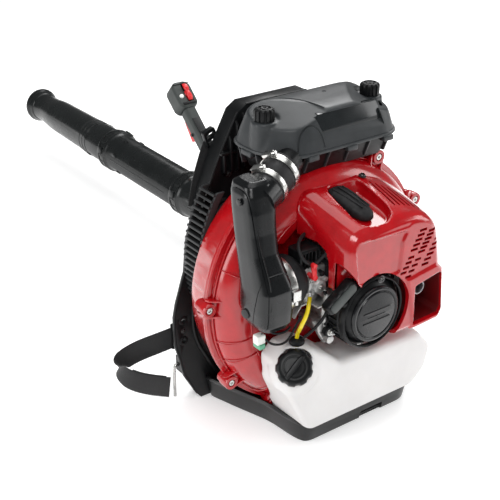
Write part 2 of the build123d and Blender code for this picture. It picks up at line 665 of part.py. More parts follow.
# ---- engine cover ------------------------------------------------------------------------------------
COVER_FACE = -180.0
COVER_REAR = FRONT_Y - 1.0
COVER_BACK = [(-72, 176), (-72, 366), (-56, 384), (44, 384), (86, 368), (118, 346)]
COVER_BACK += [(138, 312), (148, 262), (148, 178), (134, 154), (-56, 154), (-66, 160)]
COVER_FRONT = [(-50, 184), (-50, 320), (-36, 344), (40, 350), (72, 349), (94, 343)]
COVER_FRONT += [(112, 326), (125, 262), (123, 182), (108, 163), (-34, 163), (-44, 170)]


def cover_section(y, inset):
    """Outline of the engine cover at a station, between its outlines at the rear and at the face."""
    share = max(0.0, (COVER_REAR - y) / (COVER_REAR - COVER_FACE))
    points = [(a + (c - a) * share, b + (d - b) * share) for (a, b), (c, d) in zip(COVER_BACK, COVER_FRONT)]
    outline = make_face(Polyline(*points, close=True))
    plane = Plane(origin=(0, y, 0), x_dir=(1, 0, 0), z_dir=(0, -1, 0))
    return plane * (offset(outline, amount=-inset) if inset else outline)


def cover_body(inset):
    """The cover's closed shape, drawn in by an inset; at the back it runs on round the fan housing."""
    front = COVER_FACE + 14
    stations = [(-62, inset), (COVER_REAR, inset), (-150, inset), (front, 2 + inset)]
    body = loft([cover_section(y, depth) for y, depth in stations], ruled=True)
    return body + loft([cover_section(front, 2 + inset), cover_section(COVER_FACE + inset, 15 + inset)])


def engine_cover():
    """Glossy cover over the engine, with cooling slots, an exhaust outlet and a starter cut-out."""
    cover = cover_body(0) - cover_body(WALL) - block(-90, 160, -70, -40, 140, 400)
    inner = cover_section(COVER_REAR, WALL)
    cover -= extrude(inner, amount=-60)
    cover -= dish(-RUN) + block(-200, 200, COVER_REAR, 0, 140, 250)
    # open below and left of the starter, with an arch over the carburettor
    cover -= block(-90, 44, -190, COVER_REAR + 1, 140, AXIS_Z - 2)
    cover -= block(-90, -32, -190, COVER_REAR + 1, 140, AXIS_Z + 84)
    cover -= rod_y(40, -190, -60, -72, AXIS_Z + 84)
    cover -= rod_y(62, -190, COVER_REAR + 1)
    # plug cap well
    cover -= block(-30, 12, CYL_Y - 40, CYL_Y + 20, 330, 400)
    # exhaust outlet
    cover -= block(74, 119, COVER_FACE - 5, COVER_FACE + 12, 172, 248)
    # cooling slots
    for row in range(3):
        for k in range(5):
            slot = Pos(70 + 15 * row, COVER_FACE + 6, 268 + 10 * k + 3 * row) * Rot(0, 20, 0)
            cover -= slot * Box(10, 30, 4.5)
    for k in range(5):
        cover -= block(50 + 12 * k, 55 + 12 * k, -138, -94, 330, 420)
    return cover


# starter rope: it leaves the reel at a tangent and is pulled up and to the left
ROPE_Y = -166.0
PULL = (-0.56, 0.0, 0.8285)  # the way the rope is pulled
REEL_R = 24.6  # radius at which the rope leaves the reel
GRIP_AT = 68.0  # distance of the grip from the point where the rope leaves the reel


def along_rope(distance, y=ROPE_Y):
    """A point on the rope's line: 0 is where it leaves the reel."""
    return (-PULL[2] * REEL_R + PULL[0] * distance, y, AXIS_Z + PULL[0] * REEL_R + PULL[2] * distance)


def starter_shell(inset):
    """The starter housing's turned shape."""
    face, back = STARTER_FACE + 6 + inset, CASE_FRONT - 3 + inset / 2
    r = 56 - inset
    return turned_y([(0, face), (r - 15, face), (r, -160 + inset), (r, back), (0, back)])


def starter_housing():
    """Recoil starter housing with a post for the reel, a rope guide and three bolted lugs."""
    shell = starter_shell(0) - starter_shell(3) - rod_y(53, -150, -130)
    guide = rod(along_rope(44), along_rope(54), 6) - starter_shell(3)
    shell += guide
    shell += rod_y(5, STARTER_FACE + 6, -158)
    for turn in (35, 205, 270, 325):
        x, _, z = polar(61, turn)
        back = CASE_FRONT - 3
        lug = rod_y(8, back - 9, back, x, z)
        lug += Pos(*polar(56, turn, back - 4.5)) * Rot(0, -turn, 0) * Box(10, 9, 16)
        lug -= rod_y(53.5, -170, -130)
        shell += lug
    for turn in (35, 205, 270, 325):
        x, _, z = polar(61, turn)
        shell -= rod_y(2.6, -170, -130, x, z)
    return shell - rod(along_rope(0), along_rope(60), 2.8)


def starter_badge():
    """Round cap on the starter's face, with two plain raised lines."""
    cap = rod_y(40, STARTER_FACE + 1, STARTER_FACE + 6)
    for z in (AXIS_Z - 8, AXIS_Z + 8):
        cap += block(-26, 26, STARTER_FACE, STARTER_FACE + 2, z - 1, z + 1)
    return cap


def starter_reel():
    """Rope reel on its post inside the starter housing."""
    reel = ring_y(32, 5.08, ROPE_Y - 5, ROPE_Y - 3) + ring_y(32, 5.08, ROPE_Y + 3, ROPE_Y + 5)
    return reel + ring_y(REEL_R - 2.4, 5.08, ROPE_Y - 4, ROPE_Y + 4)


def starter_rope():
    """Straight end of the starter rope, from its guide to the grip."""
    return rod(along_rope(40), along_rope(GRIP_AT - 6), 2)


def starter_grip():
    """Starter grip: a rounded bar across the rope's end."""
    bar = fillet(Box(56, 20, 20).edges(), 7)
    bar = Pos(*along_rope(GRIP_AT)) * Rot(0, -34, 0) * bar
    return bar - rod(along_rope(40), along_rope(GRIP_AT - 6), 2)


# ---- fuel tank ---------------------------------------------------------------------------------------
TANK = [(-84, 5), (100, 5), (116, 38), (140, 60), (148, 97), (122, 128), (60, 132), (-36, 136)]
TANK += [(-64, 160), (-90, 177), (-118, 175), (-138, 156), (-133, 112), (-108, 62), (-96, 38)]
TANK_Y0, TANK_Y1 = -155.0, -50.0
NECK_AT = (-117.0, -142.0, 149.0)
NECK_DIR = (-0.45, -0.65, 0.61)


def along_neck(distance):
    """A point on the filler neck's axis."""
    return tuple(p + distance * d for p, d in zip(NECK_AT, NECK_DIR))


def fuel_tank():
    """Blow-moulded fuel tank: hollowed behind to clear the fan housing, with a slanted neck."""
    body = side_plate(TANK, TANK_Y1, TANK_Y0)
    body = fillet(body.edges().filter_by(Axis.Y), 8)
    body = fillet(body.faces().sort_by(Axis.Y)[0].edges(), 10)
    inset = offset(make_face(Polyline(*TANK, close=True)), amount=-4)
    plane = Plane(origin=(0, TANK_Y1 - 4, 0), x_dir=(1, 0, 0), z_dir=(0, -1, 0))
    hollow = extrude(plane * inset, amount=TANK_Y1 - TANK_Y0 - 9)
    shoulder = Plane(origin=along_neck(-16.5), z_dir=NECK_DIR) * Pos(0, 0, 10) * Cone(38, 27, 20)
    body -= rod(along_neck(3.6), along_neck(40), 29)
    tank = body + (shoulder - block(-40, 60, -200, 0, 0, 300)) + rod(along_neck(0), along_neck(14), 21)
    tank -= dish(-4) + rod_y(FLANGE_R + 14, SPLIT_Y - 22, 20)
    hollow -= dish(-8) + rod_y(FLANGE_R + 18, SPLIT_Y - 26, 20)
    tank -= hollow
    tank -= block(-200, 200, -200, 60, 0, TRAY_H + 1) - tray_pocket(5)
    x, y = GROMMET
    tank -= rod(along_neck(-30), along_neck(20), 17) + Pos(x, y, TANK_TOP) * Cylinder(8, 30)
    return tank.solids().sort_by(SortBy.VOLUME)[-1]


def fuel_cap():
    """Screw cap on the filler neck, with a fluted rim and a grip bar across its top."""
    cap = Pos(0, 0, 10) * Cylinder(26.5, 20) - Pos(0, 0, 4) * Cylinder(21 + RUN, 24)
    for k in range(14):
        turn = math.radians(360 * k / 14)
        cap -= Pos(28.5 * math.cos(turn), 28.5 * math.sin(turn), 10) * Cylinder(3, 22)
    cap += Pos(0, 0, 22) * Box(42, 9, 5)
    return Plane(origin=along_neck(4), z_dir=NECK_DIR) * cap


GROMMET = (-98.0, -124.0)
TANK_TOP = 176.0  # height of the tank at the grommet


def tank_grommet():
    """Rubber grommet in the tank's top that the fuel lines pass through."""
    x, y = GROMMET
    plug = Pos(x, y, TANK_TOP - 3) * Cylinder(7.9, 12) + Pos(x, y, TANK_TOP + 5) * Cylinder(10, 6)
    return plug - Pos(x, y, TANK_TOP) * Cylinder(HOSE_R, 40)


HOSE_R = 3.0


def fuel_hose():
    """Yellow fuel line from the tank's grommet up to the carburettor's pump cover."""
    x, y = GROMMET
    points = [(x, y, TANK_TOP - 9), (x, y, TANK_TOP + 14), (x - 6, y - 14, TANK_TOP + 32)]
    points += [(x + 4, y - 17, TANK_TOP + 54), HOSE_END]
    radii = bend_radii(points)
    print("fuel hose radii", [round(r, 1) for r in radii])
    return tube_path(points, radii, HOSE_R)


# ---- blower tube -------------------------------------------------------------------------------------
def duct_turned(points):
    """A turned solid on the blower tube's axis."""
    return turned_y(points, DUCT_X, DUCT_Z)


def outlet_elbow():
    """Elbow that turns the air from the fan outlet to the blower tube."""
    bend = OUTLET_Z - DUCT_Z
    axis = Axis((DUCT_X, DUCT_Y + bend, OUTLET_Z), (1, 0, 0))
    plane = Plane(origin=(DUCT_X, DUCT_Y, OUTLET_Z), x_dir=(1, 0, 0), z_dir=(0, 0, 1))
    torus = revolve(plane * (Circle(44) - Circle(41)), axis=axis, revolution_arc=90)
    tube = ring_y(44, 41, DUCT_Y + bend, ELBOW_END, DUCT_X, DUCT_Z)
    flange = block(OUTLET_X0, OUTLET_X1, OUTLET_Y0, OUTLET_Y1, OUTLET_Z - 6, OUTLET_Z)
    flange -= Pos(DUCT_X, DUCT_Y, OUTLET_Z) * Cylinder(43, 20)
    return torus + tube + flange


def bellows(y0, y1, folds):
    """Corrugated flexible tube."""
    pitch = (y1 - y0) / folds
    outer = [(47, y0)]
    for k in range(folds):
        outer += [(52, y0 + pitch * (k + 0.3)), (52, y0 + pitch * (k + 0.6)), (47, y0 + pitch * (k + 0.9))]
    outer.append((47, y1))
    inner = [(r - 2.4, y) for r, y in reversed(outer)]
    return duct_turned(outer + inner)


def bellows_cuff():
    """Plain cuff in the middle of the bellows."""
    return ring_y(50, 44.6, CUFF_Y - 6, CUFF_Y + 6, DUCT_X, DUCT_Z)


def socket(joint, start):
    """The inside of a tube from its socket at a joint back to its start, as (radius, y) points."""
    wide, bore = TUBE_R + 0.5, TUBE_R - TUBE_T
    return [(wide, joint), (wide, joint - 24), (bore, joint - 32), (bore, start)]


def swivel_tube():
    """First rigid tube: it turns in the bellows' end and carries the handle."""
    r = TUBE_R
    outer = [(r + 1, SWIVEL_Y + 1), (r + 1, SWIVEL_Y + 24), (r, SWIVEL_Y + 30), (r, JOINT_A - 34)]
    outer += [(r + 4, JOINT_A - 26), (r + 4, JOINT_A)]
    tube = pipe_lugs(duct_turned(outer + socket(JOINT_A, SWIVEL_Y + 1)), JOINT_A - 70, r, 6, 20)
    return tube.fuse(*collar_lugs(JOINT_A - 13))


def pipe_lugs(tube, station, radius, count, phase):
    """Small raised lugs round a tube."""
    lugs = []
    for k in range(count):
        lug = Rot(0, phase + 360 * k / count, 0) * Pos(radius + 0.8, station, 0) * Box(3.2, 12, 6)
        lugs.append(Pos(DUCT_X, 0, DUCT_Z) * lug)
    return tube.fuse(*lugs)


def collar_lugs(station):
    """Bayonet lugs round a tube's socket end."""
    lugs = []
    for k in range(3):
        lug = Rot(0, 75 + 120 * k, 0) * Pos(TUBE_R + 5.5, station, 0) * Box(5, 16, 14)
        lugs.append(Pos(DUCT_X, 0, DUCT_Z) * lug)
    return lugs


def end_collar():
    """Collar that joins the bellows' end to the swivel tube."""
    return ring_y(49, TUBE_R + 1 + 0.08, SWIVEL_Y, SWIVEL_Y + 22, DUCT_X, DUCT_Z)


def middle_tube():
    """Second rigid tube, pushed into the first and locked with a quarter turn."""
    r = TUBE_R
    outer = [(r, JOINT_A - 22), (r, JOINT_B - 34), (r + 4, JOINT_B - 26), (r + 4, JOINT_B)]
    tube = pipe_lugs(duct_turned(outer + socket(JOINT_B, JOINT_A - 22)), JOINT_B - 70, r, 6, 20)
    return tube.fuse(*collar_lugs(JOINT_B - 13))


NECK_R = 31.0  # inside radius of the nozzle's straight mouth


def nozzle():
    """Tapered nozzle with a straight mouth and a flared lip."""
    r = TUBE_R
    outer = [(r, JOINT_B - 22), (r, JOINT_B + 60), (38, TIP_Y - 110), (NECK_R + 2.5, TIP_Y - 62)]
    outer += [(NECK_R + 2.5, TIP_Y - 26), (40, TIP_Y - 6), (41, TIP_Y)]
    inner = [(38.5, TIP_Y), (NECK_R, TIP_Y - 22), (NECK_R, TIP_Y - 66), (35.5, TIP_Y - 112)]
    inner += [(r - TUBE_T, JOINT_B + 58), (r - TUBE_T, JOINT_B - 22)]
    tube = duct_turned(outer + inner)
    return pipe_lugs(tube, JOINT_B + 70, r - 0.5, 6, 20)


# ---- control handle ----------------------------------------------------------------------------------
CLAMP_R = 46.0
ARM_FOOT = 48.0  # height of the arm's foot above the tube's axis
BOLT_Z = DUCT_Z + ARM_FOOT + 4
ARM_LENGTH = 200.0
HEAD_LENGTH = 60.0


def on_arm(shape):
    """Places a shape, drawn upright with its foot at the origin, on the leaning handle arm."""
    return Pos(DUCT_X, HANDLE_Y, DUCT_Z + ARM_FOOT) * Rot(-HANDLE_LEAN, 0, 0) * shape


def handle_clamp():
    """Split clamp that slides along the swivel tube, with a lug and a bolt for the arm."""
    ring = ring_y(CLAMP_R, TUBE_R + 0.08, HANDLE_Y - 15, HANDLE_Y + 15, DUCT_X, DUCT_Z)
    lug = block(DUCT_X - 7, DUCT_X + 7, HANDLE_Y - 13, HANDLE_Y + 13, DUCT_Z + 43, DUCT_Z + ARM_FOOT + 9)
    ring += lug - rod_y(TUBE_R + 2, HANDLE_Y - 20, HANDLE_Y + 20, DUCT_X, DUCT_Z)
    z = BOLT_Z
    ring -= rod((DUCT_X - 30, HANDLE_Y, z), (DUCT_X + 30, HANDLE_Y, z), 3.05)
    bolt = rod((DUCT_X - 14, HANDLE_Y, z), (DUCT_X + 14, HANDLE_Y, z), 3)
    bolt += rod((DUCT_X + 13.1, HANDLE_Y, z), (DUCT_X + 17, HANDLE_Y, z), 5.5)
    return [ring, bolt]


def handle_arm():
    """Grip arm of the control handle, with a clevis at its foot and a slot for the trigger."""
    arm = Pos(0, 0, ARM_LENGTH / 2 + 8) * Box(26, 28, ARM_LENGTH - 16)
    arm = fillet(arm.edges().filter_by(Axis.Z), 8)
    arm -= Pos(0, 10, ARM_LENGTH - 30) * Box(12.6, 26, 64)
    clevis = Pos(0, 0, 10) * Box(26, 26, 28)
    arm += clevis
    arm -= Pos(0, 0, 6) * Box(14.6, 60, 26)
    arm = on_arm(arm) - rod_y(CLAMP_R + 0.5, HANDLE_Y - 40, HANDLE_Y + 40, DUCT_X, DUCT_Z)
    return arm - rod((DUCT_X - 30, HANDLE_Y, BOLT_Z), (DUCT_X + 30, HANDLE_Y, BOLT_Z), 3.05)



def handle_head():
    """Head of the control handle, with a slot for the cruise lever and a bore for the stop switch."""
    head = Pos(1, 0, ARM_LENGTH + HEAD_LENGTH / 2) * Box(42, 34, HEAD_LENGTH)
    head = fillet(head.edges().filter_by(Axis.Y), 14)
    head = fillet(head.faces().sort_by(Axis.Y)[0].edges(), 5)
    head -= Pos(7, -12, LEVER_AT + 2) * Box(12.6, 30, 46)
    head -= Pos(-9, -9, ARM_LENGTH + 26) * Rot(90, 0, 0) * Cylinder(4.6, 24)
    return on_arm(head)


TRIGGER_AT = ARM_LENGTH - 7.0  # the trigger's and the lever's pivots along the arm
LEVER_AT = ARM_LENGTH + 30.0


def throttle_trigger():
    """Throttle trigger on the far side of the arm, on a pin near the head."""
    body = Pos(0, 19, ARM_LENGTH - 34) * Rot(12, 0, 0) * Box(12, 14, 46)
    body = fillet(body.edges().filter_by(Axis.X), 5)
    body += Pos(0, 12, TRIGGER_AT) * Rot(0, 90, 0) * Cylinder(5, 12)
    return on_arm(body)


def cruise_lever():
    """Red cruise lever in the head's slot."""
    lever = Pos(7, -9, LEVER_AT) * Rot(0, 90, 0) * Cylinder(8, 12)
    return on_arm(lever + Pos(7, -16, LEVER_AT + 8) * Rot(30, 0, 0) * Box(12, 9, 20))


def stop_switch():
    """Red push button that stops the engine."""
    return on_arm(Pos(-9, -12, ARM_LENGTH + 26) * Rot(90, 0, 0) * Cylinder(4.5, 14))


# ---- harness -----------------------------------------------------------------------------------------
PAD_Y = PANEL_Y + PANEL_T + FLANGE_D  # operator side of the frame's rim


def back_pad():
    """Cushion on the frame's rim, against the operator's back."""
    pad = block(-110, 92, PANEL_Y + PANEL_T + 0.5, PAD_Y + 12, 180, 352)
    return fillet(pad.edges().filter_by(Axis.Y), 24)


STRAP_ROUTE = [(67, 424), (102, 430), (128, 392), (136, 318), (128, 236), (108, 168), (84, 128)]


def strap_band(x, points, half_width, thickness):
    """A flat band with rounded bends that follows (y, z) points at a station x."""
    path = FilletPolyline(*[(x, y, z) for y, z in points], radius=24)
    start = Plane(origin=path @ 0, x_dir=(1, 0, 0), z_dir=path % 0)
    return sweep(start * Rectangle(2 * half_width, thickness), path=path)


def shoulder_straps():
    """Two padded shoulder straps, hung from the frame's top and tied in at its waist."""
    return [strap_band(x, STRAP_ROUTE, 26, 11) for x in (-STRAP_X, STRAP_X)]


WEB_WIDTH = 38.0
LOOP_LEFT = [(-52, 92, 109), (-110, 98, 102), (-172, 112, 88), (-222, 136, 70)]
LOOP_LEFT += [(-246, 138, 46), (-224, 104, 24), (-190, 78, 22)]
LOOP_RIGHT = [(50, 92, 109), (66, 86, 84), (84, 76, 52)]


def webbing(points, bend):
    """A flat woven band, set on edge, along a route with rounded corners."""
    path = FilletPolyline(*points, radius=bend)
    start = Plane(origin=path @ 0, x_dir=(0, 0, 1), z_dir=path % 0)
    return sweep(start * Rectangle(WEB_WIDTH, 2), path=path)


def lower_webbing():
    """Lower webbing of both straps: the left one hangs in a loose loop to its hook."""
    return [webbing(LOOP_LEFT, 12), webbing(LOOP_RIGHT, 10)]


def strap_hook():
    """Bent wire hook between the left webbing and the frame's lug."""
    points = [(-184, 73, 8), (-184, 73, 65), (-150, 73, 65)]
    return tube_path(points, [6], 2.4)


def build():
    """Every node, by name."""
    nodes = {
        "base_tray": base_tray(),
        "back_frame": back_frame(),
        "intake_guard": intake_guard(),
        "vibration_mounts": vibration_mounts(),
        "fan_housing_front": fan_housing_front(),
        "fan_housing_rear": fan_housing_rear(),
        "housing_screws": housing_screws(),
        "crankshaft": crankshaft(),
        "fan_impeller": fan_impeller(),
        "flywheel": flywheel(),
        "crankcase_rear": crankcase_rear(),
        "crankcase_front": crankcase_front(),
        "bearings": bearings(),
        "cylinder_barrel": cylinder_barrel(),
        "piston": piston(),
        "spark_plug": spark_plug(),
        "plug_cap": plug_cap(),
        "muffler": muffler(),
        "insulator_block": insulator_block(),
        "carburettor": carburettor(),
        "heat_shield": heat_shield(),
        "throttle_arm": throttle_arm(),
        "choke_lever": choke_lever(),
        "air_cleaner_base": air_cleaner_base(),
        "air_cleaner_cover": air_cleaner_cover(),
        "air_filter": air_filter(),
        "cover_knob_left": cover_knob(KNOB_L),
        "cover_knob_right": cover_knob(KNOB_R),
        "air_duct": air_duct(),
        "intake_boots": intake_boots(),
        "hose_clamps": hose_clamps(),
        "engine_cover": engine_cover(),
        "starter_housing": starter_housing(),
        "starter_badge": starter_badge(),
        "starter_reel": starter_reel(),
        "starter_rope": starter_rope(),
        "starter_grip": starter_grip(),
        "fuel_tank": fuel_tank(),
        "fuel_cap": fuel_cap(),
        "tank_grommet": tank_grommet(),
        "fuel_hose": fuel_hose(),
        "outlet_elbow": outlet_elbow(),
        "bellows_rear": bellows(ELBOW_END - 6, CUFF_Y - 6, 9),
        "bellows_cuff": bellows_cuff(),
        "bellows_front": bellows(CUFF_Y + 6, SWIVEL_Y, 9),
        "end_collar": end_collar(),
        "swivel_tube": swivel_tube(),
        "middle_tube": middle_tube(),
        "nozzle": nozzle(),
        "handle_clamp": handle_clamp(),
        "handle_arm": handle_arm(),
        "handle_head": handle_head(),
        "throttle_trigger": throttle_trigger(),
        "cruise_lever": cruise_lever(),
        "stop_switch": stop_switch(),
        "back_pad": back_pad(),
        "shoulder_straps": shoulder_straps(),
        "lower_webbing": lower_webbing(),
        "strap_hook": strap_hook(),
    }
    return nodes


if __name__ == "__main__":
    os.makedirs("parts", exist_ok=True)
    for name, shape in build().items():
        save(shape, name)
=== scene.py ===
"""Looks of the backpack leaf blower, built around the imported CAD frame."""
import math
import bmesh
import bpy
from mathutils import Matrix, Vector
from mathutils.bvhtree import BVHTree


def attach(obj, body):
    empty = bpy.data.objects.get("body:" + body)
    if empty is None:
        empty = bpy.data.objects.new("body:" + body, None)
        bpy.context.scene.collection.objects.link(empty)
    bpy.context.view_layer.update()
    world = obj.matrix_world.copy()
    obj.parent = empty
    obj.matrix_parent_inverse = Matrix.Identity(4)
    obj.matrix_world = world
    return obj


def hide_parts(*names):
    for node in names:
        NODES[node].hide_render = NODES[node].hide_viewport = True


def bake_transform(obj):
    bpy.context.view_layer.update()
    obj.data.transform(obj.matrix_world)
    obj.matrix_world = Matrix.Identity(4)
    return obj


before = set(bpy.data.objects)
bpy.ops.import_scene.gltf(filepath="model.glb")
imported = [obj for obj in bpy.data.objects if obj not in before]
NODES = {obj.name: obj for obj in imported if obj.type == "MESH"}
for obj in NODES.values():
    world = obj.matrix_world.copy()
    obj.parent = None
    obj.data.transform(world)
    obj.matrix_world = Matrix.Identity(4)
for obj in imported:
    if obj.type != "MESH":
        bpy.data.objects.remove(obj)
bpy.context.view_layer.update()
MM = 0.001
SCENE = bpy.context.scene
AXIS_Z = 215  # height of the crankshaft and fan axis
AXIS = (0, 0, AXIS_Z)
ALONG_Y = (0, 1, 0)
CAMERA_AT = (-0.8756, -1.0813, 0.9510)
CAMERA_AIM = (-0.09, 0, 0.27)
CAMERA_LENS = 73.44


# ---------------------------------------------------------------- materials
def add(nodes, kind, **values):
    node = nodes.new(kind)
    for key, value in values.items():
        if key[0].isupper():
            node.inputs[key.replace("_", " ")].default_value = value
        else:
            setattr(node, key, value)
    return node


def grey(value):
    return (value, value, value, 1.0)


def look(name, base, rough, metal=0.0, mottle=(60, 0.1), smudge=(25, 0.08), grain=(1500, 0.1, 0.05),
         coat=0.0, sheen=0.0, edge=0.0, subsurface=0.0, weave=None, specular=0.5, tint=None):
    """One procedural finish. mottle, smudge and grain are (scale per metre, amount[, depth in mm])."""
    mat = bpy.data.materials.new(name)
    mat.use_nodes = True
    nodes = mat.node_tree.nodes
    link = mat.node_tree.links.new
    shader = nodes["Principled BSDF"]
    constants = {"Metallic": metal, "Specular IOR Level": specular,
                 "Coat Weight": coat, "Coat Roughness": 0.12,
                 "Sheen Weight": sheen, "Sheen Roughness": 0.5,
                 "Subsurface Weight": subsurface, "Subsurface Radius": (1.0, 0.9, 0.75),
                 "Subsurface Scale": 0.006}
    for key, value in constants.items():
        shader.inputs[key].default_value = value
    coords = add(nodes, "ShaderNodeTexCoord").outputs["Object"]

    def noisy(scale, detail=3.0, roughness=0.55):
        tex = add(nodes, "ShaderNodeTexNoise", Scale=scale, Detail=detail, Roughness=roughness)
        link(coords, tex.inputs["Vector"])
        return tex.outputs["Fac"]

    dark = [c * (1 - mottle[1]) for c in base] + [1]
    light = [min(1, c * (1 + mottle[1])) for c in (tint or base)] + [1]
    ramp = add(nodes, "ShaderNodeValToRGB")
    for element, position, tone in zip(ramp.color_ramp.elements, (0.32, 0.68), (dark, light)):
        element.position, element.color = position, tone
    link(noisy(mottle[0]), ramp.inputs["Fac"])
    colour = ramp.outputs["Color"]
    height = noisy(grain[0], 2.0)
    if weave:
        threads = []
        for direction in weave[1]:
            wave = add(nodes, "ShaderNodeTexWave", bands_direction=direction, Scale=weave[0],
                       Distortion=0.4, Detail=1.0)
            wave.inputs["Detail Scale"].default_value = 2.0
            link(coords, wave.inputs["Vector"])
            threads.append(wave.outputs["Fac"])
        total = threads[0]
        for other in threads[1:]:
            both = add(nodes, "ShaderNodeMath", operation="MULTIPLY")
            link(total, both.inputs[0])
            link(other, both.inputs[1])
            total = both.outputs[0]
        mixed = add(nodes, "ShaderNodeMath", operation="MULTIPLY_ADD")
        mixed.inputs[1].default_value = 0.35
        link(height, mixed.inputs[0])
        link(total, mixed.inputs[2])
        height = mixed.outputs[0]
        shade = add(nodes, "ShaderNodeMix", data_type="RGBA", blend_type="MULTIPLY")
        shade.inputs["Factor"].default_value = weave[2]
        link(colour, shade.inputs["A"])
        tone = add(nodes, "ShaderNodeValToRGB")
        tone.color_ramp.elements[0].color = grey(0.35)
        tone.color_ramp.elements[1].color = grey(1.0)
        link(total, tone.inputs["Fac"])
        link(tone.outputs["Color"], shade.inputs["B"])
        colour = shade.outputs["Result"]
    # Along convex edges, found by pointiness, the colour is lightened by up to edge: a painted highlight
    # along the edges
    if edge:
        geometry = add(nodes, "ShaderNodeNewGeometry")
        edge_highlight_mask = add(nodes, "ShaderNodeMapRange", From_Min=0.53, From_Max=0.62, To_Max=edge)
        link(geometry.outputs["Pointiness"], edge_highlight_mask.inputs["Value"])
        painted_edge_highlight = add(nodes, "ShaderNodeMix", data_type="RGBA")
        painted_edge_highlight.inputs["B"].default_value = [min(1, c * 1.5 + 0.02) for c in base] + [1]
        link(edge_highlight_mask.outputs["Result"], painted_edge_highlight.inputs["Factor"])
        link(colour, painted_edge_highlight.inputs["A"])
        colour = painted_edge_highlight.outputs["Result"]
    link(colour, shader.inputs["Base Color"])
    gloss = add(nodes, "ShaderNodeMapRange", From_Min=0.3, From_Max=0.7,
                To_Min=max(0.02, rough - smudge[1]), To_Max=min(1, rough + smudge[1]))
    link(noisy(smudge[0], 4.0, 0.6), gloss.inputs["Value"])
    link(gloss.outputs["Result"], shader.inputs["Roughness"])
    bump = add(nodes, "ShaderNodeBump", Strength=grain[1], Distance=grain[2] * MM)
    link(height, bump.inputs["Height"])
    link(bump.outputs["Normal"], shader.inputs["Normal"])
    return mat


LOOKS = {
    "red_cover": look("cover_red_gloss", (0.35, 0.002, 0.005), 0.16, coat=0.7, specular=0.5,
                      grain=(420, 0.25, 0.05), edge=0.3),
    "red_housing": look("housing_red_gloss", (0.36, 0.0022, 0.0052), 0.2, coat=0.6, specular=0.5,
                        grain=(420, 0.25, 0.06)),
    "charcoal_plastic": look("charcoal_moulded", (0.024, 0.027, 0.029), 0.38, specular=0.4,
                             grain=(1900, 0.35, 0.06), edge=0.35),
    "black_plastic": look("black_moulded", (0.0045, 0.005, 0.0055), 0.38, specular=0.24,
                          grain=(1500, 0.4, 0.07)),
    "grey_guard": look("guard_grey_moulded", (0.022, 0.023, 0.024), 0.45, specular=0.35,
                       grain=(1500, 0.3, 0.06)),
    "duct": look("duct_satin", (0.0045, 0.0052, 0.0058), 0.24, specular=0.42, grain=(1700, 0.3, 0.05)),
    "tray": look("tray_satin", (0.008, 0.0085, 0.009), 0.34, specular=0.4, grain=(1300, 0.35, 0.07)),
    "rubber_black": look("rubber_matt", (0.01, 0.01, 0.011), 0.55, specular=0.3, grain=(900, 0.4, 0.08),
                         mottle=(140, 0.25)),
    "steel": look("steel_bright", (0.62, 0.62, 0.6), 0.28, metal=1.0, grain=(2400, 0.25, 0.03),
                  mottle=(300, 0.08)),
    "cast_aluminium": look("aluminium_cast", (0.5, 0.5, 0.49), 0.46, metal=0.85, grain=(900, 0.6, 0.14),
                           mottle=(200, 0.16)),
    "fan_plastic": look("nylon_black", (0.022, 0.022, 0.024), 0.5, grain=(1600, 0.3, 0.06)),
    "muffler_steel": look("muffler_heat_tinted", (0.34, 0.29, 0.24), 0.42, metal=0.9, mottle=(45, 0.3),
                          grain=(1100, 0.4, 0.08), tint=(0.3, 0.31, 0.34)),
    "badge_black": look("cap_satin_black", (0.0065, 0.007, 0.008), 0.26, specular=0.4,
                        grain=(1500, 0.2, 0.04)),
    "rope": look("rope_braid", (0.55, 0.53, 0.48), 0.8, weave=(900, ("DIAGONAL",), 0.7),
                 grain=(3000, 0.5, 0.2)),
    "tank_plastic": look("tank_translucent_white", (0.63, 0.62, 0.615), 0.36, subsurface=0.3,
                         mottle=(18, 0.03), grain=(700, 0.2, 0.05)),
    "fuel_hose_yellow": look("hose_yellow", (0.72, 0.55, 0.006), 0.32, coat=0.2, mottle=(90, 0.12),
                             grain=(900, 0.2, 0.05)),
    "tube_plastic": look("tube_satin_black", (0.0075, 0.0088, 0.009), 0.26, specular=0.4,
                         grain=(1300, 0.25, 0.05), mottle=(14, 0.12)),
    "handle_plastic": look("handle_grey_green", (0.034, 0.04, 0.038), 0.4, specular=0.35,
                           grain=(1700, 0.4, 0.07)),
    "red_control": look("control_red", (0.6, 0.012, 0.016), 0.32, coat=0.15, grain=(1100, 0.2, 0.05)),
    "pad_fabric": look("pad_mesh_fabric", (0.014, 0.015, 0.016), 0.85, sheen=0.25,
                       weave=(420, ("X", "Z"), 0.6), grain=(2600, 0.6, 0.4), mottle=(35, 0.2)),
    "webbing": look("webbing_weave", (0.008, 0.008, 0.009), 0.78, sheen=0.15, weave=(520, ("DIAGONAL",), 0.5),
                    grain=(2800, 0.6, 0.3), mottle=(50, 0.2)),
    "grip_grey": look("grip_light_grey", (0.42, 0.42, 0.4), 0.5, grain=(1300, 0.3, 0.06)),
    "button_white": look("button_white", (0.7, 0.7, 0.67), 0.4, grain=(1300, 0.2, 0.05)),
    "white_plastic": look("connector_white", (0.75, 0.76, 0.72), 0.4, grain=(1300, 0.2, 0.05)),
    "connector_green": look("connector_green", (0.1, 0.32, 0.2), 0.4, grain=(1300, 0.2, 0.05)),
    "dark_red": look("liner_dark_red", (0.09, 0.0012, 0.002), 0.4, coat=0.1, grain=(700, 0.2, 0.05)),
    # gloss black for the thin panel in the air cleaner's front recess: painted shade, a dark sheet where the
    # recess lies in shade
    "recess_shade_black": look("painted_recess_shade_black", (0.012, 0.014, 0.015), 0.16, grain=(700, 0.1, 0.03)),
    "black_steel": look("screw_blackened", (0.09, 0.09, 0.09), 0.38, metal=0.9, grain=(2400, 0.2, 0.03)),
}
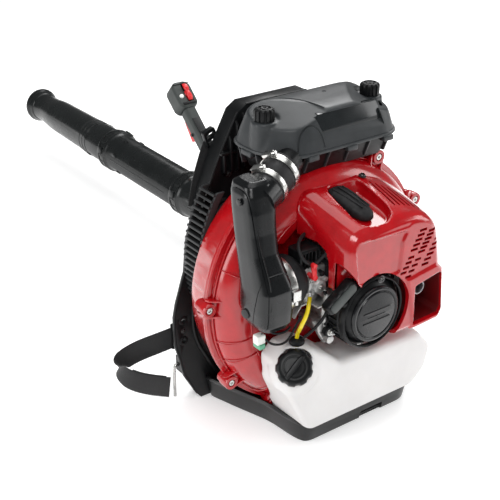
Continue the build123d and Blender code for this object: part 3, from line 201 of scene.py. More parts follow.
NODE_LOOKS = {
    "black_plastic": ["back_frame", "air_cleaner_base", "starter_housing", "fuel_cap", "air_filter",
                      "throttle_arm", "end_collar", "bellows_cuff", "handle_clamp"],
    "duct": ["air_duct"],
    "tray": ["base_tray"],
    "grey_guard": ["intake_guard"],
    "rubber_black": ["vibration_mounts", "plug_cap", "intake_boots", "tank_grommet", "bellows_rear",
                     "bellows_front"],
    "red_cover": ["engine_cover"],
    "red_housing": ["fan_housing_front", "fan_housing_rear"],
    "steel": ["housing_screws", "crankshaft", "bearings", "hose_clamps", "strap_hook", "spark_plug"],
    "cast_aluminium": ["crankcase_rear", "crankcase_front", "cylinder_barrel", "flywheel", "piston",
                       "carburettor", "heat_shield"],
    "fan_plastic": ["fan_impeller", "insulator_block", "starter_reel"],
    "muffler_steel": ["muffler"],
    "charcoal_plastic": ["air_cleaner_cover", "cover_knob_left", "cover_knob_right"],
    "badge_black": ["starter_badge"],
    "rope": ["starter_rope"],
    "grip_grey": ["starter_grip"],
    "tank_plastic": ["fuel_tank"],
    "fuel_hose_yellow": ["fuel_hose"],
    "tube_plastic": ["outlet_elbow", "swivel_tube", "middle_tube", "nozzle"],
    "handle_plastic": ["handle_arm", "handle_head"],
    "red_control": ["throttle_trigger", "cruise_lever", "choke_lever"],
    "button_white": ["stop_switch"],
    "pad_fabric": ["back_pad", "shoulder_straps"],
    "webbing": ["lower_webbing"],
}
BEVELS = {"bearings": 0, "bellows_rear": 0, "bellows_front": 0, "fuel_hose": 0, "starter_rope": 0,
          "housing_screws": 0.25, "hose_clamps": 0.2, "intake_guard": 0.5, "strap_hook": 0, "spark_plug": 0.2,
          "piston": 0.2, "cylinder_barrel": 0.25, "heat_shield": 0.2, "carburettor": 0.3}


def smooth(obj, angle=32):
    obj.data.polygons.foreach_set("use_smooth", [True] * len(obj.data.polygons))
    obj.data.set_sharp_from_angle(angle=math.radians(angle))


def modify(obj, kind, **values):
    mod = obj.modifiers.new(kind.lower(), kind)
    for key, value in values.items():
        setattr(mod, key, value)
    return mod


def dress(node, finish):
    """Gives a kept CAD node its finish, merged flat faces and a small round on each edge."""
    obj = NODES[node]
    obj.data.materials.clear()
    obj.data.materials.append(LOOKS[finish])
    width = BEVELS.get(node, 0.7)
    modify(obj, "WELD", merge_threshold=0.00001)
    if width:
        modify(obj, "DECIMATE", decimate_type="DISSOLVE", angle_limit=math.radians(0.6))
        modify(obj, "BEVEL", width=width * MM, segments=2, limit_method="ANGLE", angle_limit=math.radians(34),
               harden_normals=False, miter_outer="MITER_ARC", use_clamp_overlap=True)
    smooth(obj, 40)


for finish, names in NODE_LOOKS.items():
    for node_name in names:
        dress(node_name, finish)


# ---------------------------------------------------------------- building blocks, in millimetres
def finish_mesh(obj):
    mesh = bmesh.new()
    mesh.from_mesh(obj.data)
    bmesh.ops.remove_doubles(mesh, verts=mesh.verts, dist=1e-7)
    bmesh.ops.recalc_face_normals(mesh, faces=mesh.faces)
    mesh.to_mesh(obj.data)
    mesh.free()
    return obj


def make(points, faces, name="tool"):
    mesh = bpy.data.meshes.new(name)
    mesh.from_pydata([Vector(p) * MM for p in points], [], faces)
    obj = bpy.data.objects.new(name, mesh)
    SCENE.collection.objects.link(obj)
    return finish_mesh(obj)


def loft(rings, looped=False):
    """Skin over rings of equally many points; closed by its end rings, or round into a loop."""
    count = len(rings[0])
    faces = []
    for i in range(len(rings) - (0 if looped else 1)):
        j = (i + 1) % len(rings)
        for k in range(count):
            m = (k + 1) % count
            faces.append((i * count + k, i * count + m, j * count + m, j * count + k))
    if not looped:
        faces.append(tuple(range(count)))
        faces.append(tuple(range((len(rings) - 1) * count, len(rings) * count)))
    return make([p for ring in rings for p in ring], faces)


def spread(axis, u, v, w):
    return {"X": (w, u, v), "Y": (u, w, v), "Z": (u, v, w)}[axis]


def prism(outline, axis, a, b):
    return loft([[spread(axis, u, v, w) for u, v in outline] for w in (a, b)])


def fillet(outline, radius, steps=5):
    """The outline with each corner rounded."""
    out = []
    count = len(outline)
    for k in range(count):
        here = Vector(outline[k])
        before, after = Vector(outline[k - 1]) - here, Vector(outline[(k + 1) % count]) - here
        start = here + before.normalized() * min(radius, before.length * 0.48)
        end = here + after.normalized() * min(radius, after.length * 0.48)
        for s in range(steps + 1):
            t = s / steps
            out.append(tuple(start * (1 - t) ** 2 + here * 2 * t * (1 - t) + end * t * t))
    return out


def inset(outline, depth):
    """The outline drawn in by a depth, or out where it is negative."""
    area = sum(outline[k - 1][0] * p[1] - p[0] * outline[k - 1][1] for k, p in enumerate(outline))
    sign = 1 if area > 0 else -1
    out = []
    for k in range(len(outline)):
        a, b = Vector(outline[k - 1]), Vector(outline[(k + 1) % len(outline)])
        along = (b - a).normalized()
        out.append((outline[k][0] - along.y * depth * sign, outline[k][1] + along.x * depth * sign))
    return out


def ring_y(outline, y, depth=0.0):
    """The outline of (x, z) points at a y, drawn in by a depth."""
    return [(x, y, z) for x, z in inset(outline, depth)]


def stack(outline, levels, looped=False):
    """A loft of an outline of (x, y) points over (depth, height) levels."""
    return loft([[(x, y, z) for x, y in inset(outline, depth)] for depth, z in levels], looped)


def squared(value, power):
    return math.copysign(abs(value) ** power, value)


def around(steps):
    return [2 * math.pi * k / steps for k in range(steps)]


def polar(radius, degrees, y):
    """A point round the crankshaft's axis."""
    a = math.radians(degrees)
    return (radius * math.cos(a), y, AXIS_Z + radius * math.sin(a))


def basis(direction):
    z = Vector(direction).normalized()
    x = z.orthogonal().normalized() if abs(z.z) > 0.99 else Vector((0, 0, 1)).cross(z).normalized()
    return x, z.cross(x), z


def ring_at(origin, direction, radius, steps=64, start=0.0, arc=360.0, wave=None):
    x, y, _ = basis(direction)
    out = []
    for k in range(steps + (arc < 360)):
        angle = math.radians(start + arc * k / steps)
        r = radius + (wave(angle) if wave else 0)
        out.append(tuple(Vector(origin) + (x * math.cos(angle) + y * math.sin(angle)) * r))
    return out


def turn(profile, origin, direction, steps=72, looped=False):
    """A turned solid from (radius, distance along the direction) points."""
    z = Vector(direction).normalized()
    return loft([ring_at(Vector(origin) + z * a, z, max(r, 0.001), steps) for r, a in profile], looped)


def rod(start, end, radius, radius2=None, steps=48):
    gap = Vector(end) - Vector(start)
    return turn([(radius, 0), (radius if radius2 is None else radius2, gap.length)], start, gap, steps)


def bake(obj):
    """The object with its modifiers applied."""
    bpy.context.view_layer.update()
    graph = bpy.context.evaluated_depsgraph_get()
    mesh = bpy.data.meshes.new_from_object(obj.evaluated_get(graph))
    if obj.type != "MESH":
        new = bpy.data.objects.new(obj.name, mesh)
        SCENE.collection.objects.link(new)
        bpy.data.objects.remove(obj)
        return new
    obj.modifiers.clear()
    obj.data = mesh
    return obj


def box(x0, x1, y0, y1, z0, z1, radius=0.0, steps=3):
    obj = prism([(x0, y0), (x1, y0), (x1, y1), (x0, y1)], "Z", z0, z1)
    return rounded(obj, radius, steps) if radius else obj


def rounded(obj, width, steps=3, angle=30):
    modify(obj, "BEVEL", width=width * MM, segments=steps, limit_method="ANGLE",
           angle_limit=math.radians(angle))
    return bake(obj)


def placed(obj, origin, turn_xyz=(0, 0, 0), about=(0, 0, 0)):
    """Turns the mesh about a point by degrees, then moves it by an offset, in millimetres."""
    x, y, z = (math.radians(a) for a in turn_xyz)
    spin = Matrix.Rotation(z, 4, "Z") @ Matrix.Rotation(y, 4, "Y") @ Matrix.Rotation(x, 4, "X")
    centre = Matrix.Translation(Vector(about) * MM)
    obj.data.transform(Matrix.Translation(Vector(origin) * MM) @ centre @ spin @ centre.inverted())
    return obj


def spline_of(places, order, cyclic, detail):
    curve = bpy.data.curves.new("spline", "CURVE")
    curve.dimensions = "3D"
    spline = curve.splines.new("NURBS")
    spline.points.add(len(places) - 1)
    for point, place in zip(spline.points, places):
        point.co = (*place, 1)
    spline.order_u = order
    spline.use_endpoint_u = not cyclic
    spline.use_cyclic_u = cyclic
    curve.resolution_u = detail
    obj = bpy.data.objects.new("spline", curve)
    SCENE.collection.objects.link(obj)
    return obj


def wire(points, radius, order=4, cyclic=False, sides=3, detail=8):
    """A round bar along a smooth line through the control points."""
    obj = spline_of([Vector(place) * MM for place in points], min(order, len(points)), cyclic, detail)
    obj.data.bevel_depth = radius * MM
    obj.data.bevel_resolution = sides
    obj.data.use_fill_caps = not cyclic
    return finish_mesh(bake(obj))


def line_of(points, order=3, detail=10):
    """Points along the smooth line that a NURBS spline with these control points draws."""
    line = bake(spline_of([Vector(place) for place in points], order, False, detail))
    out = [v.co.copy() for v in line.data.vertices]
    bpy.data.objects.remove(line)
    return out


def merge(objs, name="merged"):
    """Several meshes as one object, without joining their volumes."""
    mesh = bmesh.new()
    for obj in objs:
        mesh.from_mesh(obj.data)
        bpy.data.objects.remove(obj)
    data = bpy.data.meshes.new(name)
    mesh.to_mesh(data)
    mesh.free()
    new = bpy.data.objects.new(name, data)
    SCENE.collection.objects.link(new)
    return new


def carve(obj, tools, operation="DIFFERENCE"):
    """The object less the tools, or with them, as one solid; the tools are used up."""
    group = bpy.data.collections.new("tools")
    SCENE.collection.children.link(group)
    for tool in tools:
        SCENE.collection.objects.unlink(tool)
        group.objects.link(tool)
    modify(obj, "BOOLEAN", operation=operation, solver="EXACT", operand_type="COLLECTION", collection=group)
    obj = bake(obj)
    for tool in tools:
        bpy.data.objects.remove(tool)
    bpy.data.collections.remove(group)
    return obj


def melt(obj, voxel, passes, factor=0.5):
    """Remeshed evenly and smoothed, as a moulded part with soft edges."""
    modify(obj, "REMESH", mode="VOXEL", voxel_size=voxel * MM, adaptivity=0.0)
    modify(obj, "SMOOTH", factor=factor, iterations=passes)
    return bake(obj)


def clone(node):
    """A new object with a CAD node's mesh."""
    mesh = NODES[node].data.copy()
    obj = bpy.data.objects.new("copy", mesh)
    SCENE.collection.objects.link(obj)
    mesh.materials.clear()
    return finish_mesh(obj)


def cast(obj, points, direction):
    """Points moved along a direction on to the object's surface; those that miss stay."""
    tree = BVHTree.FromObject(obj, bpy.context.evaluated_depsgraph_get())
    way = Vector(direction).normalized()
    out = []
    for point in points:
        hit = tree.ray_cast(Vector(point) * MM - way * 0.2, way)[0]
        out.append(tuple(hit / MM) if hit else tuple(point))
    return out


def piece(obj, name, finish, body, slot, *nodes, angle=35, bevel=0.0):
    """Names, finishes and mounts a piece, in place of the CAD nodes given."""
    obj.name = name
    obj.data.name = name
    obj.data.materials.clear()
    obj.data.materials.append(LOOKS[finish])
    if bevel:
        modify(obj, "BEVEL", width=bevel * MM, segments=2, limit_method="ANGLE", angle_limit=math.radians(32),
               miter_outer="MITER_ARC")
        bake(obj)
    smooth(obj, angle)
    if body:
        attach(obj, body)
    if nodes:
        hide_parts(*nodes)
    return obj


def screw(place, direction, radius, height=3.0):
    """A pan head with a cross recess, on its washer."""
    way = Vector(direction).normalized()
    head = turn([(radius * 1.35, -0.4), (radius * 1.35, 0.5), (radius, 0.6), (radius, height * 0.6),
                 (radius * 0.8, height), (0, height * 1.1)], place, way, 24)
    x, y, _ = basis(way)
    top = Vector(place) + way * (height * 1.1)
    tools = []
    for u, v in ((x, y), (y, x)):
        corners = []
        for a, b in ((-1, -1), (1, -1), (1, 1), (-1, 1)):
            corners.append(top + u * radius * 0.62 * a + v * radius * 0.14 * b)
        tools.append(loft([[tuple(c + way * h) for c in corners] for h in (-height * 0.6, 1.0)]))
    return carve(head, tools)


# ---------------------------------------------------------------- air cleaner
CLEANER = [(-100, -32), (-64, -78), (113, -78), (135, -48), (135, 25), (115, 45), (-80, 45), (-100, 25)]
CLEANER_SPLIT = 433
KNOBS = ((-79, -18), (114, -18))
KNOB_SEAT = 474
SLOPE = math.tan(math.radians(16))


def drawn(outline, depth):
    """The outline shrunk towards its middle, so that its corners never fold."""
    xs, ys = [p[0] for p in outline], [p[1] for p in outline]
    cx, cy = (min(xs) + max(xs)) / 2, (min(ys) + max(ys)) / 2
    fx, fy = 1 - 2 * depth / (max(xs) - min(xs)), 1 - 2 * depth / (max(ys) - min(ys))
    return [(cx + (x - cx) * fx, cy + (y - cy) * fy) for x, y in outline]


def level(outline, depth, z):
    return [(x, y, z) for x, y in drawn(outline, depth)]


def plane_height(a, b, c):
    """A function of x and y for the height of the plane through three points."""
    normal = (Vector(b) - Vector(a)).cross(Vector(c) - Vector(a))
    return lambda x, y: a[2] - (normal.x * (x - a[0]) + normal.y * (y - a[1])) / normal.z


def above_plane(outline, height, top=540):
    return loft([[(x, y, height(x, y)) for x, y in outline], [(x, y, top) for x, y in outline]])


def cleaner_face(z):
    return -78 + (z - CLEANER_SPLIT) * SLOPE


def air_cleaner():
    outline = fillet(CLEANER, 22)
    shell = [(0, 433), (1.2, 437), (5, 452), (9.4, 466), (13, 477), (17, 483.5), (23, 487), (33, 488.4),
             (44, 489)]
    cover = loft([level(outline, d, z) for d, z in shell])
    ridge = [(-78, 62), (-72, 40), (-42, 21), (-21, 5), (-9, -20), (-3, -54), (0, -70)]
    left = plane_height((-72, 40, 486.5), (-3, -54, 485), (-79, -18, 473))
    right = plane_height((106, 28, 487.6), (43, -61, 487.6), (114, -18, 473.6))
    tools = [above_plane([(-170, 62)] + ridge[:-1] + [(-3, -64), (-64, -120), (-170, -120)], left),
             above_plane([(118, 60), (106, 28), (75, -12), (43, -61), (36, -76), (36, -130), (190, -130),
                          (190, 60)],
                         right)]
    for x, y in KNOBS:
        tools.append(turn([(21, KNOB_SEAT), (26, KNOB_SEAT + 30)], (x, y, 0), (0, 0, 1)))
    cover = carve(cover, tools)
    columns = [turn([(21, 435), (18.6, KNOB_SEAT - 1.5), (17, KNOB_SEAT)], (x, y, 0), (0, 0, 1))
               for x, y in KNOBS]
    cover = melt(carve(cover, columns, "UNION"), 1.7, 7)
    front, back = [], []
    for z, x0, x1, depth in ((482, -27, 86, 6), (459, -18, 93, 6.5), (447, -15, 95, -0.3)):
        front.append((x0, cleaner_face(z) + depth, z))
        back.append((x1, cleaner_face(z) + depth, z))
    recess = loft([[(side[2][0], -100, 446), (side[0][0], -100, 483), *side] for side in (front, back)])
    groove = cast(cover, [(x, y, 500) for x, y in ridge[1:-1]], (0, 0, -1))
    arch = [(-61, -120, 439), (-59, -120, 455), (-51, -120, 467), (-38, -120, 473), (-26, -120, 467),
            (-19, -120, 453), (-18, -120, 439)]
    arch = cast(cover, arch, ALONG_Y)
    inner = loft([level(outline, d, z) for d, z in ((3, 425), (4, 433), (12, 462), (17, 469))])
    inner = carve(inner, [box(-44, 112, -110, -54, 438, 520)])
    seam = cast(cover, [(39, -3, 500)], (0, 0, -1))[0]
    tools = [recess, wire(groove, 1.7), wire(arch, 1.5), inner,
             turn([(3.4, -1.2), (2.8, 4)], seam, (0, 0, 1), 32)]
    cover = carve(cover, tools)
    piece(cover, "cleaner_cover", "charcoal_plastic", "chassis", "charcoal_plastic", "air_cleaner_cover")
    # A thin gloss black panel set into the recess in the cover's front: painted shade, a dark sheet where the
    # recess lies in shade
    shade_panel_rings = []
    for x, side in ((-23, -1), (90, 1)):
        ring = []
        for z, depth, shift in ((481.6, 13, -3), (481.6, 3.4, -3), (463, 3.4, 3), (456, 3.8, 6),
                                (456, 13, 6)):
            ring.append((x + shift * (1 if side > 0 else -1.6), cleaner_face(z) + depth, z))
        shade_panel_rings.append(ring)
    piece(loft(shade_panel_rings), "cleaner_recess_shade_panel", "recess_shade_black", "chassis", "black_plastic", bevel=0.4)
    rim = [level(outline, d, z) for d, z in ((-1.6, 431.4), (-1.9, 433), (-1.2, 435), (2, 435.4), (3, 431.4))]
    rim = loft(rim, looped=True)
    tabs = [box(x - 9, x + 9, -82 + dy, -70 + dy, 424, 432, 1.5) for x, dy in ((-40, 0), (30, 0), (98, 0))]
    tabs += [box(-104, -94, -20, 4, 424, 432, 1.5), box(128, 138, -30, 0, 424, 432, 1.5)]
    piece(merge([rim] + tabs), "cleaner_rim", "charcoal_plastic", "chassis", "charcoal_plastic", angle=45)
    ribs = []
    for k in range(5):
        x = -44 + 37 * k
        ribs.append(loft([[(x - 1.2, y, z) for y, z in side] + [(x + 1.2, y, z) for y, z in reversed(side)]
                          for side in ([(-58, 403), (-66, 404)], [(-68, 431), (-77, 431)])]))
    for k in range(2):
        y = -24 + 40 * k
        for x0, x1, s in ((-84, -90, 1), (119, 125, -1)):
            ribs.append(prism([(x0, 404), (x1 - 2 * s, 404), (x1 - 9 * s, 431), (x0, 431)], "Y", y - 1.2,
                              y + 1.2))
    piece(merge(ribs), "cleaner_base_ribs", "charcoal_plastic", "chassis", "black_plastic", bevel=0.4)
    for (x, y), node in zip(KNOBS, ("cover_knob_left", "cover_knob_right")):
        body = node.replace("cover_", "")
        wave = lambda turn_by: 0.9 * (1 if math.cos(12 * turn_by) > -0.35 else -1.4)
        rings = [ring_at((x, y, KNOB_SEAT + z), (0, 0, 1), r, 144, wave=wave if flute else None)
                 for z, r, flute in ((0.4, 13.2, 0), (1.2, 13.6, 1), (14.5, 13.9, 1), (16.3, 13.2, 1),
                                     (17.6, 11.6, 0), (18.2, 10.6, 0))]
        knob = loft(rings)
        knob = carve(knob, [turn([(9.4, 15.2), (9.4, 20), (5.2, 20), (5.2, 15.2)], (x, y, KNOB_SEAT),
                                 (0, 0, 1), 48, looped=True),
                            turn([(2.6, 16.8), (2.6, 20)], (x, y, KNOB_SEAT), (0, 0, 1), 6)])
        spokes = [placed(box(x - 9.8, x + 9.8, y - 1.3, y + 1.3, KNOB_SEAT + 14.8, KNOB_SEAT + 17.4),
                         (0, 0, 0), (0, 0, 20 + 60 * k), (x, y, 0)) for k in range(3)]
        knob = carve(knob, spokes, "UNION")
        piece(knob, body + "_grip", "black_plastic", body, "charcoal_plastic", node, bevel=0.3)


air_cleaner()


# ---------------------------------------------------------------- engine cover
COVER_BACK = [(-72, 176), (-72, 366), (-56, 384), (44, 384), (86, 368), (118, 346), (138, 312), (148, 262),
              (148, 178), (134, 154), (-56, 154), (-66, 160)]
COVER_FRONT = [(-50, 184), (-50, 320), (-36, 344), (40, 350), (72, 349), (94, 343), (112, 326), (125, 262),
               (123, 182), (108, 163), (-34, 163), (-44, 170)]
WELL = [(36, -86), (41, -146), (34, -164), (12, -172), (-17, -166), (-24, -150), (-25, -86)]
FRAME_OUT = [(52, 254), (113, 264), (128, 250), (134, 180), (124, 166), (72, 165)]
GRIP_SPACE = [(-120, 303), (-54, 303), (-27, 262), (-20, 250), (-20, 100), (-120, 100)]
FRAME_IN = [(72, 238), (120, 247), (126, 242), (131, 183), (126, 175), (74, 173)]


def cover_ring(y, depth):
    share = max(0.0, (-86 - y) / 94)
    points = [(a + (c - a) * share, b + (d - b) * share) for (a, b), (c, d) in zip(COVER_BACK, COVER_FRONT)]
    return ring_y(fillet(points, 13), y, depth)


def cover_solid(depth, extra=0.0):
    stations = [(-58, 0), (-86, 0), (-118, -0.8), (-150, -0.6), (-166, 0.2), (-173, 2.2), (-177.6, 5.5),
                (-180, 10.5)]
    return loft([cover_ring(y + (extra if y < -160 else 0), d + depth) for y, d in stations])


def well_tool(grow, top=440):
    outline = fillet(WELL, 14)
    low = [(x, y, 362 + (y + 95) * 0.26 - grow) for x, y in inset(outline, 4 - grow)]
    middle = [(x, y, 372 + (y + 95) * 0.3) for x, y in inset(outline, 0.5 - grow)]
    high = [(x, y, top) for x, y in inset(outline, -5 - grow)]
    return loft([low, middle, high])


def vent_slots():
    tools = []
    for (x0, z0), (x1, z1), count in (((81, 325), (66, 298), 5), ((61, 287), (48, 266), 4),
                                      ((99, 320), (81, 291), 6),
                                      ((75, 280), (58, 257), 4), ((112, 303), (90, 268), 6)):
        for k in range(count):
            t = k / (count - 1)
            x, z = x0 + (x1 - x0) * t, z0 + (z1 - z0) * t
            half = 7 if count > 4 else 6
            tools.append(box(x - half, x + half, -200, -150, z - 2.1, z + 2.1))
    for k in range(6):
        x = 50 + 8.2 * k
        low, high = -148 - 1.6 * k, -98 - 4 * k
        tools.append(prism([(x, low), (x + 1.8, low - 2), (x + 3.6, low), (x + 3.6 - 2, high),
                            (x + 0.2, high + 3), (x - 2, high)], "Z", 320, 420))
    return tools


def engine_cover():
    cover = cover_solid(0)
    boss = loft([ring_y(FRAME_OUT, y, d) for y, d in ((-166, -4), (-178, -1), (-183.5, 5.5))])
    cover = carve(cover, [boss, rod((4, -166, 271), (4, -181.5, 271), 9, 7.5)], "UNION")
    panel = fillet([(-43, 336), (52, 331), (43, 318), (40, 270), (-35, 271)], 4, 2)
    tools = [loft([ring_y(panel, -176.6), ring_y(panel, -190, -7)]),
             well_tool(0), prism(FRAME_IN, "Y", -200, -172)]
    scoop = [(-52, 352), (60, 360), (66, 353), (54, 345), (-40, 345)]
    tools.append(placed(loft([ring_y(scoop, -178.6), ring_y(scoop, -195, -3)]), (0, 0, -8)))
    cover = melt(carve(cover, tools), 1.35, 4)
    inner = cover_solid(3.4, 5.6)
    inner = carve(inner, [well_tool(3.2), prism(inset(GRIP_SPACE, -3), "Y", -210, -150)])
    outlet = prism(inset(FRAME_IN, -0.5), "Y", -200, -128)
    side = prism([(-60, 330), (-76, 327), (-122, 325), (-136, 316), (-142, 300), (-143, 262), (-156, 262),
                  (-156, 100), (-40, 100)],
                 "X", -120, -32)
    corner = prism(GRIP_SPACE, "Y", -200, -153)
    starter = rod((0, -200, 215), (0, -60, 215), 62, steps=96)
    bottom = prism([(-120, 100), (44, 100), (44, 213), (-120, 213)], "Y", -200, -80)
    drum = turn([(0, -40), (193.4, -40), (193.4, -45.5), (186, -63), (172, -78), (152.4, -85.6), (152, -86.2),
                 (0, -86.2)], AXIS, ALONG_Y, 160)
    below = prism([(-220, 100), (220, 100), (220, 250), (-220, 250)], "Y", -86.5, -30)
    cover = carve(cover, [inner, outlet, side, corner, starter, bottom, drum, below, *vent_slots()])
    piece(cover, "engine_shroud", "red_cover", "chassis", "red_cover", "engine_cover", angle=28)
    box_walls = loft([ring_y(FRAME_IN, y, d) for y, d in ((-176, -0.3), (-176, -2.4), (-134, -2.4),
                                                          (-134, 0.6))],
                     looped=True)
    piece(box_walls, "exhaust_liner", "dark_red", "chassis", "red_cover", bevel=0.3)
    wall = prism([(-58, 259), (-58, 303), (-52, 307), (-38, 290), (-18, 264), (-28, 256)], "Y", -153, -150.2)
    wall = carve(wall, [rod((0, -200, 215), (0, -60, 215), 59, steps=96)])
    piece(wall, "shroud_grip_wall", "red_cover", "chassis", "red_cover", bevel=0.5)
    screws = [screw((4, -181.4, 271), (0, -1, 0), 4.2), screw((45, -87, 384.6), (0.1, -0.2, 1), 4.2)]
    piece(merge(screws), "shroud_screws", "black_steel", "chassis", "steel", angle=30)


engine_cover()


def plug_boot():
    rings = []
    for s, half, high in ((0, 9, 6), (3, 14, 12), (12, 17, 17), (30, 17.5, 19), (50, 15.5, 17), (62, 12, 13),
                          (67, 8, 8), (69, 4, 4)):
        y, z, x = -88 - s * 0.95, 376 - s * 0.33, -9 + s * 0.17
        ring = []
        for k in range(28):
            a = 2 * math.pi * k / 28
            cx, cz = math.copysign(abs(math.cos(a)) ** 0.7,
                                   math.cos(a)), math.copysign(abs(math.sin(a)) ** 0.7, math.sin(a))
            ring.append((x + half * cx, y, z + (high * 0.5 + (2 if cz > 0 else 0)) * cz))
        rings.append(ring)
    boot = loft(rings)
    ridges = [wire([(-20 + k * 9 + 2, -96, 385 - abs(k - 1) * 1.5),
                    (-14 + k * 8 + 4, -122, 377 - abs(k - 1) * 1.5),
                    (-8 + k * 6 + 6, -143, 369 - abs(k - 1))], 1.0) for k in range(3)]
    lead = wire([(-9, -92, 372), (-10, -84, 366), (-24, -80, 352), (-30, -84, 330)], 3.6)
    piece(merge([melt(boot, 1.0, 3)] + ridges + [lead]), "plug_boot", "rubber_black", "chassis",
          "rubber_black", "plug_cap", angle=50)


plug_boot()

# ---------------------------------------------------------------- intake duct
DUCT = [(-150, -121, 222, 28, 38), (-150, -121, 226, 42, 54), (-150, -121, 236, 53, 66),
        (-150, -121, 254, 57, 69),
        (-150, -121, 286, 58, 69), (-153, -113, 312, 50, 61), (-155, -106, 334, 45, 54),
        (-153, -98, 362, 46, 54),
        (-151, -92, 390, 48, 54), (-150, -87, 412, 46, 52), (-149, -84, 424, 40, 46),
        (-149, -84, 429, 27, 33)]
SPIGOT = Vector((-0.88, -0.36, -0.31))
PORT_Z = 273
CYLINDER_Y = -110


def along_spigot(distance):
    return Vector((-66, -60, 427)) + SPIGOT * distance


def oval_ring(x, y, z, width, depth, power=0.55, steps=56):
    return [(x + width / 2 * squared(math.cos(a), power), y + depth / 2 * squared(math.sin(a), power), z)
            for a in around(steps)]


def duct_solid(grow):
    rings = []
    for lower, upper in zip(DUCT, DUCT[1:]):
        for t in (0, 0.25, 0.5, 0.75):
            rings.append([a + (b - a) * t for a, b in zip(lower, upper)])
    rings.append(list(DUCT[-1]))
    return loft([oval_ring(x, y, z, w + 2 * grow, d + 2 * grow) for x, y, z, w, d in rings])


def duct_pockets(grow):
    return [rod(along_spigot(30), along_spigot(70 + grow), 31 + grow),
            rod((-131 - grow, CYLINDER_Y, PORT_Z), (-90, CYLINDER_Y, PORT_Z), 41 + grow),
            box(-131 - grow, -90, CYLINDER_Y - 48 - grow, CYLINDER_Y, PORT_Z - 20 - grow, PORT_Z + 20 + grow)]


def intake_duct():
    duct = melt(carve(duct_solid(0), duct_pockets(0)), 1.3, 5)
    seam = carve(box(-170.7, -169.5, -170, -40, 200, 440), [duct_solid(-1.2)])
    crease = carve(placed(box(-186, -110, -142.4, -141.2, 190, 452), (0, 0, 0), (14, 0, 0), (0, -141, 300)),
                   [duct_solid(-0.8)])
    duct = carve(duct, [seam, crease])
    spigots = [rod(along_spigot(92), along_spigot(69), 27), rod(along_spigot(92), along_spigot(58), 24),
               rod((-137, CYLINDER_Y, PORT_Z), (-122, CYLINDER_Y, PORT_Z), 34)]
    duct = carve(duct, spigots, "UNION")
    piece(duct, "duct_body", "duct", "chassis", "black_plastic", "air_duct", angle=40)
    bosses = [rod((-178.5, -112, 246), (-180.6, -112.4, 246), 7.5, 6.6),
              rod((-176, -94, 404), (-177.6, -94, 404), 5, 4.2)]
    strip = [wire([(-167, -155.2, 262), (-164, -152, 300), (-168, -134, 336), (-166, -120, 370),
                   (-163, -112, 405)], 0.9)]
    piece(merge(bosses + strip), "duct_bosses", "duct", "chassis", "black_plastic", bevel=0.3)


intake_duct()


# ---------------------------------------------------------------- fuel tank and cap
def fuel_tank():
    tank = melt(clone("fuel_tank"), 2.3, 16)
    piece(tank, "tank_body", "tank_plastic", "chassis", "tank_plastic", "fuel_tank", angle=60)
    neck = Vector((-117, -142, 149))
    way = Vector((-0.45, -0.65, 0.61)).normalized()
    base = neck + way * 4
    wave = lambda angle: -1.7 * max(0.0, math.cos(9 * angle)) ** 0.6
    rings = []
    for height, radius, flute in ((0, 25.6, 1), (1.2, 26.5, 1), (13, 26.5, 1), (16.5, 25.2, 1),
                                  (18.6, 22.5, 0), (19.6, 19, 0), (20.2, 12, 0), (20.4, 2, 0)):
        rings.append(ring_at(base + way * height, way, radius, 180, wave=wave if flute else None))
    cap = loft(rings)
    bar_ring = []
    x, y, _ = basis(way)
    along = (x * math.cos(0.9) + y * math.sin(0.9)).normalized()
    across = way.cross(along)
    for height, grow in ((18, 0), (23.4, -0.8), (25, -2.4)):
        ring = []
        for a in around(32):
            u = (20.5 + grow) * squared(math.cos(a), 0.5)
            v = (4.6 + grow * 0.6) * squared(math.sin(a), 0.7)
            ring.append(tuple(base + way * height + along * u + across * v))
        bar_ring.append(ring)
    cap = carve(cap, [loft(bar_ring)], "UNION")
    cap = carve(cap, [turn([(16.5, 19.2), (16.5, 22), (15.2, 22), (15.2, 19.2)], base, way, 64, looped=True),
                      rod(base - way * 2, base + way * 13, 21.4)])
    piece(cap, "tank_cap_body", "black_plastic", "tank_cap", "black_plastic", "fuel_cap", bevel=0.4)
    collar = turn([(21.2, -1), (21.2, 2.6), (23.6, 3), (24.4, 1.4), (24.4, -1)], neck, way, 72, looped=True)
    piece(collar, "tank_neck_ring", "tank_plastic", "chassis", "tank_plastic", bevel=0.3)
    gromm = turn([(11, 0), (11.4, 2), (10.4, 5.5), (7.4, 7.4), (4.2, 8.2), (3.3, 8.2), (3.3, 0)],
                 (-98, -124, 176), (0, 0, 1), 48, looped=True)
    piece(gromm, "grommet_body", "rubber_black", "chassis", "rubber_black", "tank_grommet")


fuel_tank()


# ---------------------------------------------------------------- base tray
TRAY = [(-84, -136), (112, -136), (128, -118), (135, -60), (135, 56), (-135, 56), (-118, 0), (-98, -60),
        (-92, -118)]


